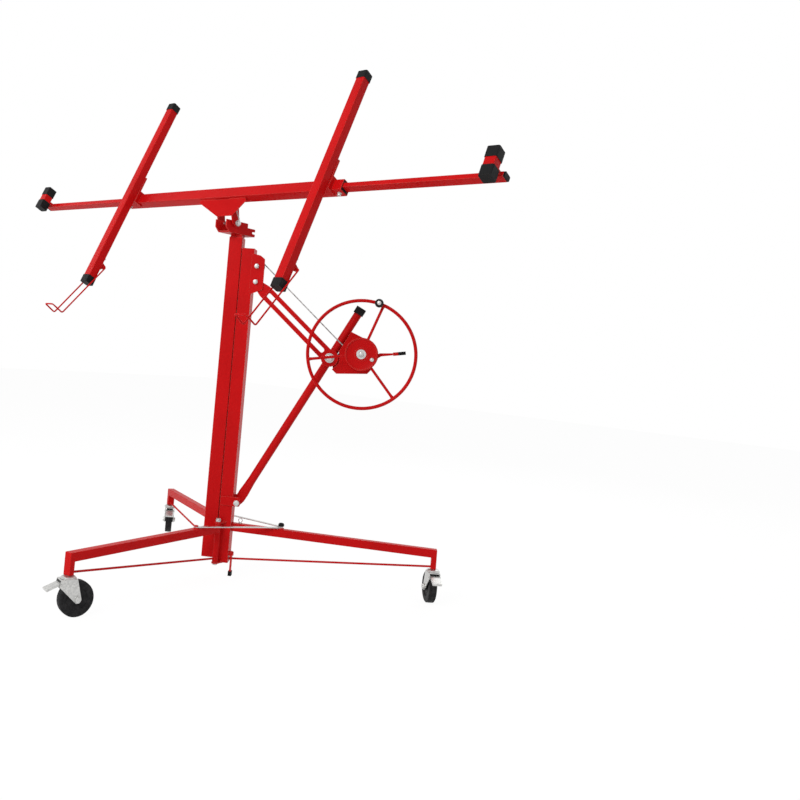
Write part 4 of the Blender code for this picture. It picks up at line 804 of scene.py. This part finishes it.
class LIFT_OT_casters(bpy.types.Operator):
    """Build the caster tyres, their hubs and the axle nuts"""

    bl_idname = "lift.casters"
    bl_label = "Casters"

    def execute(self, context):
        race = [(0.0225, 0.0), (0.0262, 0.0008), (0.0262, 0.0030), (0.0225, 0.0042)]
        for word in CASTERS:
            at = ANCHOR["caster_" + word + "_roll"]
            axle = AXIS["caster_" + word + "_roll"]
            made = piece("caster_tyre_" + word, [turned(self.tyre(), at, axle, 96)],
                         material("caster_rubber"), "wheel_" + word)
            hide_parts("caster_wheel_" + word)
            nuts = []
            for way in (-1, 1):
                nuts += bolt(at + axle * way * (FORK_HALF + HAIR), axle * way, "axle")
            top = ANCHOR["caster_" + word + "_swivel"] * (1, 1, 0) + UP * RACE_Z
            nuts.append(turned(race, top, UP))
            piece("caster_nuts_" + word, nuts, material("bright_zinc"), "fork_" + word)
        return {"FINISHED"}

    @staticmethod
    def tyre():
        """Half a section from hub to tread, the tread, and the half's mirror image.

        The tread is a low crown, radius = R - 0.5 mm (h / half)^2, with two shallow grooves.
        """
        half_tread, groove_at, groove_size = 0.0125, 0.0055, 0.0009
        tread = np.linspace(half_tread, -half_tread, 61)
        groove = groove_size * np.exp(-((np.abs(tread) - groove_at) / groove_size) ** 2)
        crown = AXLE_HEIGHT - 0.0005 * (tread / half_tread) ** 2 - groove
        turn = np.linspace(0.0, pi / 2, 7)
        bend, bend_drop, bend_at = 0.0040, 0.0045, 0.0105
        shoulder = zip(AXLE_HEIGHT - bend_drop + bend * np.sin(turn), bend_at + bend * np.cos(turn))
        side = [(0.0063, 0.0180), (0.0110, 0.0180), (0.0122, 0.0172), (0.0132, 0.0112), (0.0145, 0.0103)]
        side += [(0.0200, 0.0103), (0.0204, 0.0108), (0.0216, 0.0108), (0.0220, 0.0103), (0.0335, 0.0103)]
        side += [(0.0352, 0.0110), (0.0366, 0.0140), (0.0382, 0.0145), (0.0470, 0.0145), (0.0473, 0.0140)]
        side += [(0.0481, 0.0140), (0.0484, 0.0145)]
        half = side + list(shoulder)[:-1]
        return half + list(zip(crown, tread)) + [(r, -h) for r, h in reversed(half)]


class LIFT_OT_fasteners(bpy.types.Operator):
    """Put bolts and washers on the mast, winch, head and cradle, and black frames of painted shade in the
    crossbar's mouths
    """

    bl_idname = "lift.fasteners"
    bl_label = "Fasteners"

    def execute(self, context):
        zinc = material("bright_zinc")
        base = []
        for kind, place in MAST_BOLTS:
            base += bolt(in_base(*place), FRONT, kind)
        base += bolt(in_base(CLEVIS_X, MAST_SIDE, CLEVIS_Z), BASE_Y, "clevis")
        base += bolt(ANCHOR["brake_release"] + FRONT * 0.0102, FRONT, "brake")
        for word in SIDES:
            top = ANCHOR["rear_leg_" + word + "_fold"] * (1, 1, 0) + UP * (HINGE_TOP + FLOOR_DROP)
            base += bolt(top, UP, "hinge")
        piece("base_bolts", base, zinc, "base")
        cradle, mouth_shade_frames = [], []
        for way in (-1, 1):
            cradle += bolt(in_cradle(way * 0.0490, 0, 0), SIDEWAYS * way, "tilt")
            cradle += bolt(in_cradle(way * (BAR_HALF - 0.0165), BAR_Y, BAR_UNDER - HAIR), -CRADLE[2], "stop")
            for aside in (-0.010, 0.010):
                lug = in_cradle(way * ARM_SPREAD + aside, ARM_Y + 0.0193, BAR_Z - 0.318)
                cradle += bolt(lug, CRADLE[1], "lug")
            # Black frames in the crossbar's open ends: painted shade for the dark inside of the tube
            mouth_shade_frames.append(self.guide(way * (BAR_HALF - 0.0014), way * (BAR_HALF + HAIR)))
        piece("cradle_bolts", cradle, zinc, "cradle")
        piece("bar_guides", mouth_shade_frames, material("black_moulded_plastic"), "cradle")
        return {"FINISHED"}

    @staticmethod
    def guide(back, face):
        """A flat black frame in the crossbar's mouth, painted shade for its open end: four rectangles, outer
        and inner, back and face.
        """
        corners = np.array(((-1, -1), (1, -1), (1, 1), (-1, 1)))
        wall = 0.0031
        outer = (BAR_HALF_SIZE - wall, BAR_HALF_SIZE - wall)
        inner = (0.0174, 0.0098)
        rows = []
        for x, half in ((back, outer), (face, outer), (face, inner), (back, inner)):
            flat = corners * half + (BAR_Y, BAR_Z)
            rows.append(np.column_stack([np.full(4, x), flat]))
        return skin(in_frame(np.array(rows), CRADLE_AT, CRADLE), wrap_rows=True)


class LIFT_OT_chain(bpy.types.Operator):
    """Hang the pin's small chain from the crossbar to the tilt bracket"""

    bl_idname = "lift.chain"
    bl_label = "Pin chain"

    def execute(self, context):
        """A link is an oval, x = w cos a, z = h sin a; every other link is turned a quarter."""
        start = np.array((0.046, -0.060, BAR_UNDER - 0.004))
        stop = np.array((0.0535, -0.004, 0.012))
        count, half_wide, wire = 13, 0.0026, 0.0008
        angle = round_trip(28)
        ahead = unit(stop - start)
        axes = axes_about(ahead)
        pitch = np.linalg.norm(stop - start) / count
        half_long = pitch * 0.72
        shells = []
        for number in range(count):
            across, over = axes[number % 2], axes[1 - number % 2]
            middle = start + ahead * pitch * (number + 0.5)
            oval = middle + np.outer(np.cos(angle) * half_wide, across)
            oval = oval + np.outer(np.sin(angle) * half_long, ahead)
            placed = in_frame(oval, CRADLE_AT, CRADLE)
            shells.append(swept(placed, wire, 8, aimed(over, CRADLE), closed=True))
        piece("pin_chain", shells, material("bright_zinc"), "cradle")
        return {"FINISHED"}


class LIFT_OT_welds(bpy.types.Operator):
    """Run weld beads along the joints of the base and the cradle"""

    bl_idname = "lift.welds"
    bl_label = "Welds"

    def execute(self, context):
        red = material("red_powder_coat")
        base = []
        # Upright, on both sides of the front leg's root
        for y in (-0.0150, 0.0150):
            base.append(weld_bead(in_base(0.0512, y, 0.192), in_base(0.0512, y, 0.218), BEAD, BASE_X))
        # Level, on both sides of the mast's foot
        for z in (0.0765, 0.2238):
            for y in (-0.0356, 0.0356):
                base.append(weld_bead(in_base(0.004, y, z), in_base(0.031, y, z), FINE_BEAD, UP))
        piece("base_welds", base, red, "base")
        cradle = []
        for way in (-1, 1):
            # Behind each cross arm, at its saddle's corners
            for aside in (-0.0193, 0.0193):
                for rise in (-0.0270, 0.0270):
                    x, y, z = way * ARM_SPREAD + aside, ARM_Y + 0.0192, BAR_Z + rise
                    ends = in_cradle(x - 0.004, y, z), in_cradle(x + 0.004, y, z)
                    cradle.append(weld_bead(*ends, FINE_BEAD, CRADLE[1]))
            # Under the crossbar, along the tilt bracket
            y, z = BAR_Y - 0.0115, BAR_UNDER - 0.0008
            ends = in_cradle(way * 0.036, y, z), in_cradle(way * 0.120, y, z)
            cradle.append(weld_bead(*ends, BEAD, CRADLE[1]))
        piece("cradle_welds", cradle, red, "cradle")
        return {"FINISHED"}


class LIFT_OT_stage(bpy.types.Operator):
    """Set the pale floor, the white surround, the soft lights and the camera"""

    bl_idname = "lift.stage"
    bl_label = "Stage"

    def execute(self, context):
        stage = context.scene.lift_stage
        context.scene.view_settings.view_transform = "Standard"
        self.floor()
        self.surround(context.scene, stage)
        self.lamp("key_light", (0.9, -4.4, 3.4), stage.key)
        self.lamp("left_light", (-3.6, -2.4, 2.6), stage.fill)
        self.lamp("back_light", (-0.5, 4.0, 3.4), stage.fill)
        self.camera(context.scene, stage)
        return {"FINISHED"}

    @staticmethod
    def floor():
        """A wide flat sheet, white where no shadow falls."""
        span = np.linspace(-FLOOR_HALF, FLOOR_HALF, 3)
        x, y = np.meshgrid(span, span)
        rows = np.stack([x, y, np.full_like(x, FLOOR_Z)], axis=-1)
        index = np.arange(x.size).reshape(x.shape)
        faces = np.stack([index[:-1, :-1], index[:-1, 1:], index[1:, 1:], index[1:, :-1]], axis=-1)
        mesh = bpy.data.meshes.new("studio_floor")
        mesh.from_pydata(rows.reshape(-1, 3).tolist(), [], faces.reshape(-1, 4).tolist())
        recipe = Recipe("studio_floor_paint")
        matte = recipe.node("ShaderNodeBsdfDiffuse", {}, {"Color": FLOOR_GREY})
        glow = recipe.node("ShaderNodeEmission", {}, {"Strength": FLOOR_GLOW})
        recipe.blend(recipe.shown() * FLOOR_SHOWN, matte, glow, "Material Output")
        mesh.materials.append(recipe.material)
        sheet = bpy.data.objects.new("studio_floor", mesh)
        bpy.context.scene.collection.objects.link(sheet)

    @staticmethod
    def surround(scene, stage):
        """White to the rays that show it, and a soft light from all round to the rest."""
        world = bpy.data.worlds.new("white_surround")
        world.use_nodes = True
        sky = Shading(world.node_tree)
        soft = sky.node("ShaderNodeBackground", {}, {"Color": WHITE, "Strength": stage.ambient})
        white = sky.node("ShaderNodeBackground", {}, {"Color": WHITE, "Strength": 1.0})
        sky.blend(sky.shown(), soft, white, "World Output")
        scene.world = world

    @staticmethod
    def lamp(name, at, power):
        """A square soft light aimed at the middle of the lift."""
        light = bpy.data.lights.new(name, "AREA")
        light.size = LAMP_SIZE
        light.energy = power
        lamp = bpy.data.objects.new(name, light)
        lamp.location = at
        aim = Vector(LAMP_AIM) - lamp.location
        lamp.rotation_euler = aim.to_track_quat("-Z", "Y").to_euler()
        bpy.context.scene.collection.objects.link(lamp)

    @staticmethod
    def camera(scene, stage):
        """Stand at the eye, aim by yaw and pitch, then lean by roll."""
        flat = cos(stage.pitch)
        ahead = Vector((sin(stage.yaw) * flat, cos(stage.yaw) * flat, sin(stage.pitch)))
        level = Vector((cos(stage.yaw), -sin(stage.yaw), 0.0))
        down = ahead.cross(level)
        right = level * cos(stage.roll) + down * sin(stage.roll)
        up = -(down * cos(stage.roll) - level * sin(stage.roll))
        data = bpy.data.cameras.new("photo_camera")
        data.sensor_width = SENSOR
        data.lens = stage.lens
        data.shift_x = stage.shift[0]
        data.shift_y = stage.shift[1]
        camera = bpy.data.objects.new("photo_camera", data)
        turn = Matrix((right, up, -ahead)).transposed().to_4x4()
        camera.matrix_world = Matrix.Translation(stage.eye) @ turn
        scene.collection.objects.link(camera)
        scene.camera = camera


OPERATORS = (LIFT_OT_finishes, LIFT_OT_frame, LIFT_OT_handwheel, LIFT_OT_knob, LIFT_OT_cable, LIFT_OT_hooks,
             LIFT_OT_casters, LIFT_OT_fasteners, LIFT_OT_chain, LIFT_OT_welds, LIFT_OT_stage)


class LIFT_PT_looks(bpy.types.Panel):
    """Lists the steps that dress the lift"""

    bl_label = "Drywall lift"
    bl_idname = "LIFT_PT_looks"
    bl_space_type = "VIEW_3D"
    bl_region_type = "UI"
    bl_category = "Lift"

    def draw(self, context):
        for step in OPERATORS:
            self.layout.operator(step.bl_idname)
        for group in (context.scene.lift_finishes, context.scene.lift_sizes, context.scene.lift_stage):
            for name in group.__annotations__:
                self.layout.prop(group, name)


CLASSES = (LiftFinishes, LiftSizes, LiftStage) + OPERATORS + (LIFT_PT_looks,)


def register():
    for one in CLASSES:
        bpy.utils.register_class(one)
    bpy.types.Scene.lift_finishes = PointerProperty(type=LiftFinishes)
    bpy.types.Scene.lift_sizes = PointerProperty(type=LiftSizes)
    bpy.types.Scene.lift_stage = PointerProperty(type=LiftStage)


def unregister():
    del bpy.types.Scene.lift_stage
    del bpy.types.Scene.lift_sizes
    del bpy.types.Scene.lift_finishes
    for one in reversed(CLASSES):
        bpy.utils.unregister_class(one)


def main():
    register()
    bpy.ops.lift.finishes()
    bpy.ops.lift.frame()
    bpy.ops.lift.handwheel()
    bpy.ops.lift.knob()
    bpy.ops.lift.cable()
    bpy.ops.lift.hooks()
    bpy.ops.lift.casters()
    bpy.ops.lift.fasteners()
    bpy.ops.lift.chain()
    bpy.ops.lift.welds()
    bpy.ops.lift.stage()


if __name__ == "__main__":
    main()
